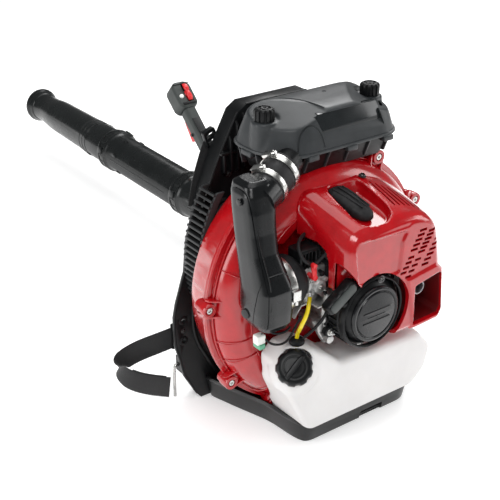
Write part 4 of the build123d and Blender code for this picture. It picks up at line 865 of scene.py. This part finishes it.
def base_tray():
    outline = fillet(TRAY, 15)
    flare = math.tan(math.radians(9))
    outer = [(2.4, 0), (0.8, 0.8), (0, 2.6), (-20 * flare, 20), (-34 * flare, 34), (-36 * flare + 0.3, 36.6),
             (-37 * flare + 1.4, 38)]
    tray = stack(outline, outer)
    pocket = stack(outline, ((4.4, 4), (3.2, 5.6), (4 - 45 * flare, 45)))
    tools = [pocket, box(20, 66, -162, -131, -1, 14, 3), box(-30, -2, -162, -142, -1, 15, 3),
             box(-160, 160, 55.9, 80, -4, 50)]
    for x in (-60, -36, 84, 104):
        tools.append(box(x - 5, x + 5, -128, -60, -1, 1.4, 1))
    tray = carve(tray, tools)
    bead = [(-33 * flare - 1.6, 33), (-35.4 * flare - 1.9, 35.4), (-37 * flare - 0.6, 37.4),
            (-35 * flare + 1, 35)]
    rim = stack(outline, bead, looped=True)
    rim = carve(rim, [box(-170, 170, 55.9, 90, 0, 60)])
    ribs = []
    for x in (-70, -52, -34, 74, 92):
        ribs.append(prism([(-140, 31), (-136.8, 8), (-134, 8), (-137, 31)], "X", x - 1.3, x + 1.3))
    piece(merge([tray, rim] + ribs), "tray_shell", "tray", "chassis", "black_plastic", "base_tray", bevel=0.5)


base_tray()


# ---------------------------------------------------------------- starter
PULL = (-0.56, 0, 0.8285)  # the way the rope is pulled
REEL_R = 24.6
GRIP_AT = 68
STARTER_BOLTS = (35, 205, 270, 325)


def starter():
    cap = turn([(42.6, -174.4), (43.4, -177), (42.4, -179.4), (40, -180.6), (37.6, -180.2), (36.4, -178.8),
                (35.6, -178.6), (34.6, -180.4), (33, -181), (2, -181.4)], AXIS, ALONG_Y, 128)
    lines = [box(-25, 25, -182.4, -180.6, z - 1.1, z + 1.1, 0.4) for z in (222, 206)]
    lines.append(box(-16, 16, -182, -180.6, 213.4, 214.6, 0.3))
    piece(carve(cap, lines, "UNION"), "starter_cap", "badge_black", "chassis", "badge_black", "starter_badge",
          bevel=0.2)
    rim = [turn([(54, -174.6), (55.6, -173.2), (56.9, -168), (56.9, -164), (55.4, -163), (52, -173)], AXIS,
                ALONG_Y, 128, looped=True)]
    for k in range(34):
        a = math.radians(k * 360 / 34)
        if 100 < math.degrees(a) < 155:
            continue
        x, z = 56.2 * math.cos(a), AXIS_Z + 56.2 * math.sin(a)
        rim.append(placed(box(x - 1.1, x + 1.4, -160, -142, z - 1.2, z + 1.2, 0.4), (0, 0, 0),
                          (0, -math.degrees(a), 0), (x, 0, z)))
    for a in STARTER_BOLTS:
        rim.append(rod(polar(61, a, -146.4), polar(61, a, -137), 8.6))
    piece(merge(rim), "starter_rim", "black_plastic", "chassis", "black_plastic", bevel=0.3)
    bolts = [screw(polar(61, a, -146.6), (0, -1, 0), 4.2, 4) for a in STARTER_BOLTS]
    piece(merge(bolts), "starter_bolts", "steel", "chassis", "steel")
    pull = Vector(PULL)
    centre = Vector((-PULL[2] * REEL_R + PULL[0] * GRIP_AT, -166,
                     AXIS_Z + PULL[0] * REEL_R + PULL[2] * GRIP_AT))
    along = Vector((PULL[2], 0, -PULL[0]))
    rings = []
    for s, half, high in ((-29, 4, 4), (-28, 7, 7), (-25, 9.4, 9.6), (-16, 10, 10), (-7, 9.2, 9.4),
                          (0, 10.4, 9.8),
                          (7, 9.2, 9.4), (16, 10, 10), (25, 9.4, 9.6), (28, 7, 7), (29, 4, 4)):
        ring = []
        for a in around(32):
            u = half * squared(math.cos(a), 0.6)
            v = high * squared(math.sin(a), 0.6)
            ring.append(tuple(centre + along * s + pull * u + Vector((0, v, 0))))
        rings.append(ring)
    grip = melt(loft(rings), 0.8, 3)
    piece(grip, "pull_grip", "black_plastic", "starter_pull", "black_plastic", "starter_grip", angle=60)
    # A lighter grey-green plate over the front face of the black grip: a painted highlight where the grip
    # catches the light
    plate = []
    for lift, grow in ((-1.5, 0), (0.5, 0), (1.0, -0.7)):
        ring = []
        for u, v in fillet([(-24, -7.4), (24, -7.4), (24, 7.4), (-24, 7.4)], 5):
            ring.append(tuple(centre + Vector((0, -9.6 - lift, 0)) + along * (u * (1 + grow / 24))
                              + pull * (v * (1 + grow / 7))))
        plate.append(ring)
    painted_highlight_plate = loft(plate)
    piece(painted_highlight_plate, "pull_grip_painted_highlight", "handle_plastic", "starter_pull", "black_plastic", bevel=0.3)


starter()

# ---------------------------------------------------------------- blower tube
TUBE = Vector((158, 0, 98))


def on_tube(y, dx=0.0, dz=0.0):
    return (TUBE.x + dx, y, TUBE.z + dz)


def tube_turn(profile):
    return turn(profile, on_tube(0), ALONG_Y, 96, looped=True)


def bellows(name, node, y0, y1, folds):
    outer = []
    steps = folds * 10
    for k in range(steps + 1):
        share = k / steps
        swell = 0.5 - 0.5 * math.cos(2 * math.pi * folds * share)
        outer.append((46.9 + 5.2 * swell ** 0.8, y0 + (y1 - y0) * share))
    profile = outer + [(r - 2.3, y) for r, y in reversed(outer)]
    hose = tube_turn(profile)
    piece(hose, name, "rubber_black", None, "rubber_black", node, angle=70)
    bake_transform(hose)


def tube_fittings():
    bellows("hose_bellows_rear", "bellows_rear", 64, 164, 8)
    bellows("hose_bellows_front", "bellows_front", 176, 278, 8)
    cuff = tube_turn([(44.7, 164), (49.4, 164), (50.4, 165.4), (49.6, 167.5), (49.6, 172.5), (50.4, 174.6),
                      (49.4, 176), (44.7, 176)])
    piece(cuff, "cuff_ring", "black_plastic", "pipe_link", "black_plastic", "bellows_cuff", bevel=0.2)
    rings = []
    wide = 45
    collars = ([(-0.6, 0), (1.2, 0.8), (1.2, 3.4), (-0.6, 4)],
               [(-0.6, 19), (1.4, 19.8), (1.8, 23), (1.2, 25.6), (-0.6, 26)])
    for start in (538, 841):
        for collar in collars:
            rings.append(tube_turn([(wide + r, start + y) for r, y in collar]))
        for k in range(18):
            a = math.radians(20 * k)
            x, z = TUBE.x + (wide + 0.2) * math.cos(a), TUBE.z + (wide + 0.2) * math.sin(a)
            rings.append(placed(box(x - 0.9, x + 0.9, start + 5, start + 18, z - 1.6, z + 1.6, 0.5),
                                (0, 0, 0), (0, -20 * k, 0), (x, 0, z)))
    lips = [(33.2, 1224), (36, 1228), (36.6, 1231), (35.6, 1233), (38.6, 1239), (41, 1243), (41.6, 1246.5),
            (40.8, 1250), (38.4, 1250), (31.4, 1228), (31.2, 1224)]
    rings.append(tube_turn(lips))
    for y in (936, 950, 964):
        taper = (y - 936) * 0.02
        rings.append(tube_turn([(40.2 - taper, y), (41.9 - taper, y + 1.4), (40 - taper, y + 2.8)]))
    seams = [box(TUBE.x - 41.9, TUBE.x - 40.6, 330, 500, 97.3, 98.7, 0.4),
             box(TUBE.x + 40.6, TUBE.x + 41.9, 330, 500, 97.3,
             98.7, 0.4), box(TUBE.x - 41.9, TUBE.x - 40.6, 590, 820, 97.3, 98.7, 0.4)]
    piece(merge(rings + seams), "tube_collars", "tube_plastic", "blower_pipe", "tube_plastic", bevel=0.2)


tube_fittings()


# ---------------------------------------------------------------- control handle
ARM = Matrix.Translation(Vector((158, 400, 146))) @ Matrix.Rotation(math.radians(-48.5), 4, "X")


def on_arm(obj):
    place = ARM.copy()
    place.translation *= MM
    obj.data.transform(place)
    return obj


def control_handle():
    head = melt(clone("handle_head"), 0.9, 4)
    piece(head, "handle_head_shell", "handle_plastic", "control_handle", "handle_plastic", "handle_head",
          angle=60)
    arm = melt(clone("handle_arm"), 0.9, 3)
    piece(arm, "handle_arm_shell", "handle_plastic", "control_handle", "handle_plastic", "handle_arm",
          angle=60)
    trim = [on_arm(box(-9, 9, -14.9, -13.2, 30, 176, 1.2)), on_arm(box(-13, 15, -18.2, -16.4, 206, 212, 0.6)),
            on_arm(box(-17, 19, -17.9, -16.6, 252, 254, 0.5))]
    for k in range(7):
        trim.append(on_arm(box(-7, 7, -15.6, -14.5, 44 + 16 * k, 50 + 16 * k, 0.5)))
    piece(merge(trim), "handle_trim", "black_plastic", "control_handle", "handle_plastic", bevel=0.2)
    lever = []
    for y, z, half, thick in ((-17, 214, 4.6, 3), (-19.4, 220, 5.6, 5), (-20.4, 227, 5.2, 5),
                              (-19.6, 233, 4.2, 4.4),
                              (-21, 240, 5.8, 5.4), (-20.4, 247, 5.4, 4.6), (-18, 251, 4, 3)):
        lever.append([(7 + half * math.cos(a), y + thick * 0.7 * math.sin(a), z)
                      for a in around(24)])
    hub = rod((1.2, -9, 230), (12.8, -9, 230), 8)
    stem = box(1.4, 12.6, -18, -9, 224, 236, 2)
    lever = melt(on_arm(carve(loft(lever), [hub, stem], "UNION")), 0.6, 3)
    piece(lever, "cruise_lever_body", "red_control", "cruise", "red_control", "cruise_lever", angle=60)
    trigger = melt(clone("throttle_trigger"), 0.7, 4)
    piece(trigger, "trigger_body", "red_control", "trigger", "red_control", "throttle_trigger", angle=60)
    button = on_arm(turn([(4.4, -5), (4.4, -17.6), (4, -19), (2.6, -19.8), (0.4, -20)], (-9, 0, 226), ALONG_Y,
                         32))
    piece(button, "stop_button_cap", "button_white", "stop_button", "red_control", "stop_switch", bevel=0.1)
    bolts = [screw((144.4, 400, 150), (-1, 0, 0), 4.4, 3.4), on_arm(screw((1, 17.2, 214), ALONG_Y, 3)),
             on_arm(screw((-13.4, 6, 150), (-1, 0, 0), 3)), on_arm(screw((-13.4, 6, 60), (-1, 0, 0), 3))]
    piece(merge(bolts), "handle_screws", "black_steel", "control_handle", "steel")


control_handle()


# ---------------------------------------------------------------- harness
def puff(obj, pressure, cap):
    """The mesh blown up a little as cloth, each point by at most a cap in millimetres."""
    rest = [v.co.copy() for v in obj.data.vertices]
    cloth = obj.modifiers.new("cloth", "CLOTH")
    cloth.settings.use_pressure = True
    cloth.settings.uniform_pressure_force = pressure
    cloth.settings.effector_weights.gravity = 0
    cloth.settings.mass = 0.3
    cloth.collision_settings.use_collision = False
    for step in range(1, 21):
        SCENE.frame_set(step)
    obj = bake(obj)
    for vertex, start in zip(obj.data.vertices, rest):
        moved = vertex.co - start
        if moved.length > cap * MM:
            vertex.co = start + moved * (cap * MM / moved.length)
    SCENE.frame_set(1)
    return obj


def pressed(obj, depth_at):
    """Moves each point of a padded mesh in along its normal by a depth, in millimetres."""
    moves = [depth_at(v.co / MM, v.normal) for v in obj.data.vertices]
    for vertex, depth, normal in zip(obj.data.vertices, moves, [v.normal.copy() for v in obj.data.vertices]):
        vertex.co -= normal * depth * MM
    return obj


def dip(distance, half, depth):
    return depth * math.exp(-(distance / half) ** 2)


def subdivided(obj, levels=1):
    modify(obj, "SUBSURF", levels=levels, render_levels=levels)
    return bake(obj)


def back_pad():
    outline = fillet([(-106, 184), (88, 184), (88, 348), (-106, 348)], 26, 8)
    pad = loft([ring_y(outline, y, d) for y, d in ((62.5, 1), (66, -0.5), (78, -1), (90, 0.5), (95, 4),
                                                   (96.6, 9))])
    modify(pad, "REMESH", mode="VOXEL", voxel_size=0.005)
    modify(pad, "SMOOTH", factor=0.5, iterations=3)
    pad = subdivided(puff(bake(pad), 4, 5))

    def depth_at(p, normal):
        if normal.y < 0.2:
            return dip(p.y - 80, 2, 1.2)
        total = dip(p.x + 9, 4, 5) + dip(abs(p.z - 266) - 43, 3.4, 3.4)
        edge = min(min(abs(p.x + 110), abs(p.x - 92)), min(abs(p.z - 180), abs(p.z - 352)))
        return total + dip(edge - 15, 2.6, 1.6)

    piece(pressed(pad, depth_at), "pad_cushion", "pad_fabric", "chassis", "pad_fabric", "back_pad", angle=180)
    line = fillet([(-110, 180), (92, 180), (92, 352), (-110, 352)], 30, 6)
    piping = [wire(ring_y(line, 80, 0.4), 1.9, cyclic=True)]
    piece(merge(piping), "pad_piping", "webbing", "chassis", "pad_fabric", angle=60)


def band(points, half, thick, widths=None, up=(0, 0, 1), order=3, crown=0.0, steps=20, detail=12):
    """A flat or padded band along a smooth line; its width lies along up, and may change along it."""
    line = line_of(points, order, detail)
    rings = []
    for k, point in enumerate(line):
        along = (line[min(k + 1, len(line) - 1)] - line[max(k - 1, 0)]).normalized()
        wide = (Vector(up) - along * along.dot(Vector(up))).normalized()
        out = along.cross(wide)
        share = k / (len(line) - 1)
        scale = widths(share) if widths else 1.0
        ring = []
        for a in around(steps):
            u = half * scale * squared(math.cos(a), 0.35)
            v = (thick / 2) * squared(math.sin(a), 0.6) * (1 + crown * (1 - (u / (half * scale)) ** 2))
            ring.append(tuple(point + wide * u + out * v))
        rings.append(ring)
    return loft(rings), line


def shoulder_straps():
    route = [(67, 424), (102, 430), (128, 392), (136, 318), (128, 236), (108, 168), (84, 128)]

    def widths(share):
        """Wide over the shoulder, and drawn in to the buckle."""
        swell = 0.8 + 0.2 * math.sin(math.pi * min(1, share * 1.25)) ** 0.7
        return swell - 0.32 * max(0, share - 0.8) / 0.2

    trims, buckles = [], []
    for name, x in (("left", -44), ("right", 44)):
        points = [(x, y, z) for y, z in route]
        strap, line = band(points, 24.5, 8.2, widths, (1, 0, 0), crown=0.2, steps=36)
        modify(strap, "REMESH", mode="VOXEL", voxel_size=0.004)
        modify(strap, "SMOOTH", factor=0.5, iterations=2)
        strap = subdivided(puff(bake(strap), 4, 2))
        cells = [p for k, p in enumerate(line) if k % 7 == 3]

        def depth_at(p, normal):
            near = min((p - cell).length_squared for cell in cells) ** 0.5 if abs(normal.x) < 0.5 else 99
            return dip(abs(abs(p.x - x) - 19.5), 1.6, 1.1) + dip(near * 0.5, 2.0, 0.8)

        piece(pressed(strap, depth_at), "strap_pad_" + name, "pad_fabric", "chassis", "pad_fabric",
              *(["shoulder_straps"] if x < 0 else []), angle=180)
        out = [p + Vector((0, 6.4 if k > 3 else 4.6, 1.5 if k < 14 else 0)) for k, p in enumerate(line)]
        tape, _ = band([tuple(p) for p in out[4::6]], 12.5, 1.8, None, (1, 0, 0), steps=12)
        trims.append(tape)
        for side in (-1, 1):
            edge = [p + Vector((side * (24.8 * widths(k / (len(line) - 1))), 0, 0)) for k,
                    p in enumerate(line)]
            trims.append(wire([tuple(p) for p in edge[::5]], 1.5))
        end = Vector((x, 98, 146))
        frame_bar = fillet([(-17, -11), (17, -11), (17, 11), (-17, 11)], 3, 3)
        slots = [fillet([(-13.4, a), (13.4, a), (13.4, b), (-13.4, b)], 1.5, 2)
                 for a, b in ((-8, -1.6), (1.6, 8))]
        buckle = prism([(x + u, end.z + v) for u, v in frame_bar], "Y", 101, 105.5)
        buckle = carve(buckle, [prism([(x + u, end.z + v) for u, v in h], "Y", 98, 109) for h in slots])
        buckles.append(placed(buckle, (0, 6.5, 0), (-28, 0, 0), (x, 103, end.z)))
    piece(merge(trims), "strap_tapes", "webbing", "chassis", "pad_fabric", angle=50)
    piece(merge(buckles), "strap_buckles", "black_plastic", "chassis", "pad_fabric", bevel=0.5)


def lower_webbing():
    left = [(-52, 92, 109), (-110, 98, 102), (-172, 112, 88), (-222, 136, 70), (-252, 142, 52),
            (-236, 108, 30), (-190, 78, 24)]
    right = [(50, 92, 109), (66, 86, 84), (84, 76, 52)]
    tapes, line = [], None
    for points in (left, right):
        tape, path = band(points, 19, 2, None, (0, 0, 1), steps=16, detail=14)
        tapes.append(tape)
        line = line or path
    piece(merge(tapes), "waist_webbing", "webbing", "chassis", "webbing", "lower_webbing", angle=50)
    thread = []
    for k in (4, 8):
        for edge in (-16, 16):
            thread.append(wire([tuple(p + Vector((-0.2, -1.3, edge))) for p in line[k:k + 30:4]], 0.35,
                               sides=1))
    tail = [p + Vector((0.6, 2.2, 1)) for p in line[-14:]]
    loop, _ = band([tuple(p) for p in tail[::3]], 18.6, 2.2, None, (0, 0, 1), steps=12)
    piece(merge(thread + [loop]), "waist_stitching", "webbing", "chassis", "webbing", angle=50)
    slider = prism(fillet([(-23, -12), (23, -12), (23, 12), (-23, 12)], 3, 3), "X", -2.2, 2.2)
    slider = carve(slider, [prism(fillet([(-20, a), (20, a), (20, b), (-20, b)], 1.5, 2), "X", -5, 5)
                            for a, b in ((-9, -1.8), (1.8, 9))])
    for step in (Matrix.Rotation(math.radians(90), 4, "X"), Matrix.Rotation(math.radians(-104), 4, "Z"),
                 Matrix.Translation(line[20] * MM)):
        slider.data.transform(step)
    piece(slider, "waist_slider", "black_plastic", "chassis", "webbing", bevel=0.5)


back_pad()
shoulder_straps()
lower_webbing()

# ---------------------------------------------------------------- fan housing details
EARS = (25, 60, 130, 175, 215, 245)


def housing_details():
    arcs = [wire([polar(199.4, a, -44.4) for a in range(4, 284, 7)], 1.7, detail=3),
            wire([polar(193.6, a, -52) for a in range(62, 284, 7)], 1.2, detail=3),
            wire([polar(151, a, -85.4) for a in range(100, 262, 7)], 1.0, detail=3)]
    for angle in EARS:
        for side in (-3.6, 3.6):
            fin = prism([(172, -76), (190, -62), (204, -57), (206, -50), (192, -47), (180, -60)], "Z", -1.3,
                        1.3)
            fin = placed(fin, AXIS, (0, -(angle + side), 0))
            arcs.append(fin)
        boss = turn([(10.4, -60.5), (11, -57), (11, -43), (6, -43), (6, -60.5)], polar(203, angle, 0),
                    ALONG_Y, 40, looped=True)
        arcs.append(boss)
    for angle in (144, 158, 192, 203, 230, 258):
        arcs.append(wire([polar(192.6, angle, -52), polar(190.6, angle, -66), polar(181, angle, -79),
                          polar(163, angle, -85.6), polar(152, angle, -85.8)], 0.8, detail=5))
    piece(merge(arcs), "housing_ribs", "red_housing", "chassis", "red_housing", angle=40, bevel=0.3)
    rings = []
    for x, z, r in ((-106, 321, 19), (-106, 109, 19), (60, 78, 17)):
        for y in (20, 34, 48):
            rings.append(turn([(r - 3, y - 3.5), (r, y - 2), (r, y + 2), (r - 3, y + 3.5)], (x, 0, z),
                              ALONG_Y, 56, looped=True))
    piece(merge(rings), "mount_rings", "rubber_black", "chassis", "rubber_black")


housing_details()


# ---------------------------------------------------------------- backpack frame details
PLATE = [(72, 462), (84, 440), (108, 395), (127, 350), (138, 315), (155, 270), (172, 226), (186, 183),
         (191, 160), (191, 112), (181, 77), (176, 50), (154, 10), (146, 0)]
RIM = [(72, 462), (84, 440), (108, 395), (127, 350), (136, 315), (149, 270), (155, 215), (160, 150),
       (160, 60)]


def frame_details():
    parts = []
    left = [(-x, z) for x, z in PLATE]
    parts.append(wire([(x + 1.2, 57.4, z) for x, z in left[:-1]], 2.0, order=3))
    parts.append(wire([(-x + 3, 60, z) for x, z in RIM], 2.4, order=3))
    parts.append(wire([(x - 1.2, 57.4, z) for x, z in PLATE[:9]], 2.0, order=3))
    parts.append(wire([(-56, 58, 471), (0, 57, 472), (56, 58, 471)], 2.4))
    for x, z0, z1 in ((-98, 372, 412), (-86, 372, 432), (-74, 372, 452), (-62, 372, 462), (-50, 380, 466)):
        parts.append(prism([(57, z0), (49, z0 + 6), (50, z1 - 8), (57, z1)], "X", x - 1.8, x + 1.8))
    parts.append(box(-104, -44, 50, 57, 404, 408, 1))
    curve = [(-156, 56, 173), (-160, 55, 140), (-152, 54, 104), (-138, 54, 82), (-124, 54, 50),
             (-104, 54, 22)]
    parts.append(wire(curve, 3.4))
    parts.append(wire([(x + 11, y + 0.5, z - 4) for x, y, z in curve], 2.2))
    for x, z in ((-175, 116), (-175, 152)):
        parts.append(turn([(3.7, 54.6), (7.4, 55), (7.8, 56.4), (3.7, 56.4)], (x, 0, z), ALONG_Y, 40,
                          looped=True))
    for z in (200, 228, 256, 284):
        parts.append(prism([(57, z), (51, z + 3), (51, z + 9), (57, z + 12)], "X", -150 + (z - 200) * 0.3,
                           -128 + (z - 200) * 0.3))
    piece(merge(parts), "frame_ribs", "black_plastic", "chassis", "black_plastic", angle=40, bevel=0.4)
    back = []
    for z in (384, 392, 400):
        back.append(wire([(-70, 63, z), (0, 64, z + 4), (70, 63, z)], 1.6))
    for x in (-96, 96):
        back.append(wire([(x, 62.4, 196), (x * 1.04, 62.4, 250), (x * 0.98, 62.4, 312)], 2.2))
    for x in (-1, 1):
        back.append(wire([(x * 120, 62, 170), (x * 128, 62, 130), (x * 118, 62, 60), (x * 112, 62, 20)], 2.6))
    piece(merge(back), "frame_back_ribs", "black_plastic", "chassis", "black_plastic", angle=40)
    buckle = prism(fillet([(-12, -14), (12, -14), (10, 14), (-10, 14)], 4, 3), "Y", 84, 92)
    buckle = carve(buckle, [prism(fillet([(-8, -9), (8, -9), (8, -3), (-8, -3)], 1, 2), "Y", 80, 96),
                            prism(fillet([(-7, 2), (7, 2), (6, 8), (-6, 8)], 1, 2), "Y", 80, 96)])
    buckle = placed(buckle, (-96, 3, 420), (0, -22, 0))
    piece(buckle, "frame_buckle", "black_plastic", "chassis", "black_plastic", bevel=0.8)
    strap, _ = band([(-100, 93, 412), (-114, 92, 380), (-126, 90, 345), (-132, 88, 320)], 8, 1.8, None,
                    (1, 0, 0.25))
    piece(strap, "frame_tie_strap", "webbing", "chassis", "black_plastic", angle=50)
    hook = [screw((-175, 56.2, 134), (0, -1, 0), 3.2), screw((-88, 56, 372), (0, -1, 0), 4),
            screw((88, 56, 372), (0, -1, 0), 4)]
    piece(merge(hook), "frame_screws", "black_steel", "chassis", "steel")


frame_details()


# ---------------------------------------------------------------- round the carburettor
def carburettor_details():
    cables = [wire([(-72, -134, 300), (-96, -142, 306), (-108, -136, 322), (-98, -118, 334),
                    (-70, -100, 330)], 2.6),
              wire([(-82, -136, 300), (-62, -140, 312), (-44, -134, 318), (-40, -116, 322)], 2.2),
              wire([(-160, -122, 212), (-156, -130, 200), (-140, -134, 190), (-118, -132, 190),
                    (-106, -128, 204), (-96, -130, 222)], 1.7),
              wire([(-148, -118, 212), (-140, -128, 204), (-124, -130, 202), (-112, -126, 208)], 1.5),
              wire([(-60, -134, 252), (-52, -142, 236), (-58, -142, 216), (-80, -138, 196), (-92, -130, 184)],
                   2.4),
              wire([(-40, -128, 250), (-34, -140, 232), (-46, -142, 212), (-62, -140, 200)], 1.8)]
    piece(merge(cables), "engine_cables", "rubber_black", "chassis", "rubber_black", angle=60)
    body = [box(-93, -57, -133, -88, 251, 285, 4), box(-90, -60, -139, -131, 256, 280, 3),
            rod((-75, -138, 268), (-75, -145, 268), 11, 9), box(-88, -66, -128, -92, 283, 293, 2.5),
            rod((-86, -136, 262), (-86, -143, 262), 3.4), rod((-64, -136, 276), (-64, -143, 276), 3.4),
            rod((-74, -112, 236), (-74, -112, 252), 15, 17)]
    lid = carve(body[0], body[1:], "UNION")
    piece(lid, "carburettor_casting", "cast_aluminium", "chassis", "cast_aluminium", bevel=0.8)
    block = carve(box(-98, -60, -127, -98, 289, 320, 3), [box(-93, -65, -130, -123, 294, 315, 1.5)])
    ribs = [box(-90 + 6 * k, -88.4 + 6 * k, -128, -122, 292, 317, 0.4) for k in range(4)]
    piece(merge([block] + ribs), "throttle_bracket", "black_plastic", "chassis", "fan_plastic", bevel=0.6)
    bolts = [screw((-88, -139.4, 279), (0, -1, 0), 2.6), screw((-62, -139.4, 258), (0, -1, 0), 2.6),
             screw((-95.4, -127.4, 292), (0, -1, 0), 1.8), screw((-75, -145, 268), (0, -1, 0), 3.4)]
    piece(merge(bolts), "carburettor_screws", "steel", "chassis", "steel")
    piece(rounded(box(-170, -156, -128, -116, 198, 212), 1.6), "wire_connector", "white_plastic", "chassis",
          "tank_plastic")
    piece(merge([box(-168, -158, -130, -114, 191, 198.4, 1.2), box(-160, -154, -126, -118, 202, 208, 1)]),
          "wire_connector_clip", "connector_green", "chassis", "fan_plastic")
    lever = prism(fillet([(-87.4, 281), (-80.6, 281), (-82.4, 304), (-85.6, 308), (-90, 308), (-90.6, 303)],
                         1.6, 3),
                  "Y", -143.6, -141.2)
    lever = carve(lever, [rod((-84, -144.4, 284), (-84, -124, 284), 3.9),
                          rod((-88, -148, 305), (-88, -141.4, 305), 3.4)],
                  "UNION")
    piece(lever, "choke_lever_body", "red_control", "choke", "red_control", "choke_lever", bevel=0.4)
    case = [wire([polar(64, a, -136) for a in (150, 172, 196, 218)], 4.2),
            wire([polar(72, a, -128) for a in (188, 206, 226)], 3.4)]
    case += [rod(polar(68, 196, -138), polar(68, 196, -128), 7),
             rod(polar(66, 222, -140), polar(66, 222, -128), 6.4)]
    piece(merge(case), "crankcase_web", "cast_aluminium", "chassis", "cast_aluminium", angle=45, bevel=0.4)
    plate = box(72, 122, -133, -131, 174, 244)
    holes = [rod((84 + 9 * i + (4.5 if j % 2 else 0), -140, 184 + 8 * j),
                 (84 + 9 * i + (4.5 if j % 2 else 0), -125,
             184 + 8 * j), 2.4, steps=16) for i in range(4) for j in range(7)]
    piece(carve(plate, holes), "exhaust_screen", "muffler_steel", "chassis", "muffler_steel", bevel=0.2)


carburettor_details()

# ---------------------------------------------------------------- floor, light and camera
def area_light(name, place, aim, size, power):
    data = bpy.data.lights.new(name, "AREA")
    data.shape = "RECTANGLE"
    data.size, data.size_y = size
    data.energy = power
    obj = bpy.data.objects.new(name, data)
    obj.location = place
    obj.rotation_euler = (Vector(aim) - Vector(place)).to_track_quat("-Z", "Y").to_euler()
    SCENE.collection.objects.link(obj)


def surroundings():
    mesh = bpy.data.meshes.new("floor")
    mesh.from_pydata([(-14, -14, 0), (14, -14, 0), (14, 14, 0), (-14, 14, 0)], [], [(0, 1, 2, 3)])
    floor = bpy.data.objects.new("floor", mesh)
    SCENE.collection.objects.link(floor)
    floor.location.z = -0.0003
    pale = look("floor_pale", (0.93, 0.93, 0.93), 0.7, mottle=(2, 0.01), grain=(300, 0.05, 0.05))
    pale.node_tree.nodes["Principled BSDF"].inputs["Emission Color"].default_value = (1, 1, 1, 1)
    pale.node_tree.nodes["Principled BSDF"].inputs["Emission Strength"].default_value = 0.22
    mesh.materials.append(pale)
    world = bpy.data.worlds.new("studio")
    world.use_nodes = True
    background = world.node_tree.nodes["Background"]
    background.inputs["Color"].default_value = (1, 1, 1, 1)
    rays = world.node_tree.nodes.new("ShaderNodeLightPath")
    level = world.node_tree.nodes.new("ShaderNodeMapRange")
    level.inputs["To Min"].default_value = 0.74
    level.inputs["To Max"].default_value = 0.13
    world.node_tree.links.new(rays.outputs["Is Glossy Ray"], level.inputs["Value"])
    world.node_tree.links.new(level.outputs["Result"], background.inputs["Strength"])
    SCENE.world = world
    aim = (-0.02, 0.1, 0.25)
    area_light("key_light", (-1.5, -1.6, 2.3), aim, (1.4, 1.0), 30)
    area_light("top_light", (0.2, 0.2, 2.6), aim, (2.0, 2.0), 20)
    area_light("back_light", (1.3, 1.1, 1.9), aim, (1.3, 0.9), 26)
    area_light("rim_light", (1.9, -0.9, 1.0), aim, (0.9, 1.2), 12)
    area_light("left_light", (-2.2, 0.6, 0.9), aim, (0.8, 1.4), 16)
    data = bpy.data.cameras.new("main_view")
    data.lens = CAMERA_LENS
    data.sensor_width = 36
    data.clip_end = 60
    camera = bpy.data.objects.new("main_view", data)
    camera.location = CAMERA_AT
    camera.rotation_euler = (Vector(CAMERA_AIM) - camera.location).to_track_quat("-Z", "Y").to_euler()
    SCENE.collection.objects.link(camera)
    SCENE.camera = camera
    SCENE.view_settings.view_transform = "Standard"
    SCENE.view_settings.look = "None"


surroundings()
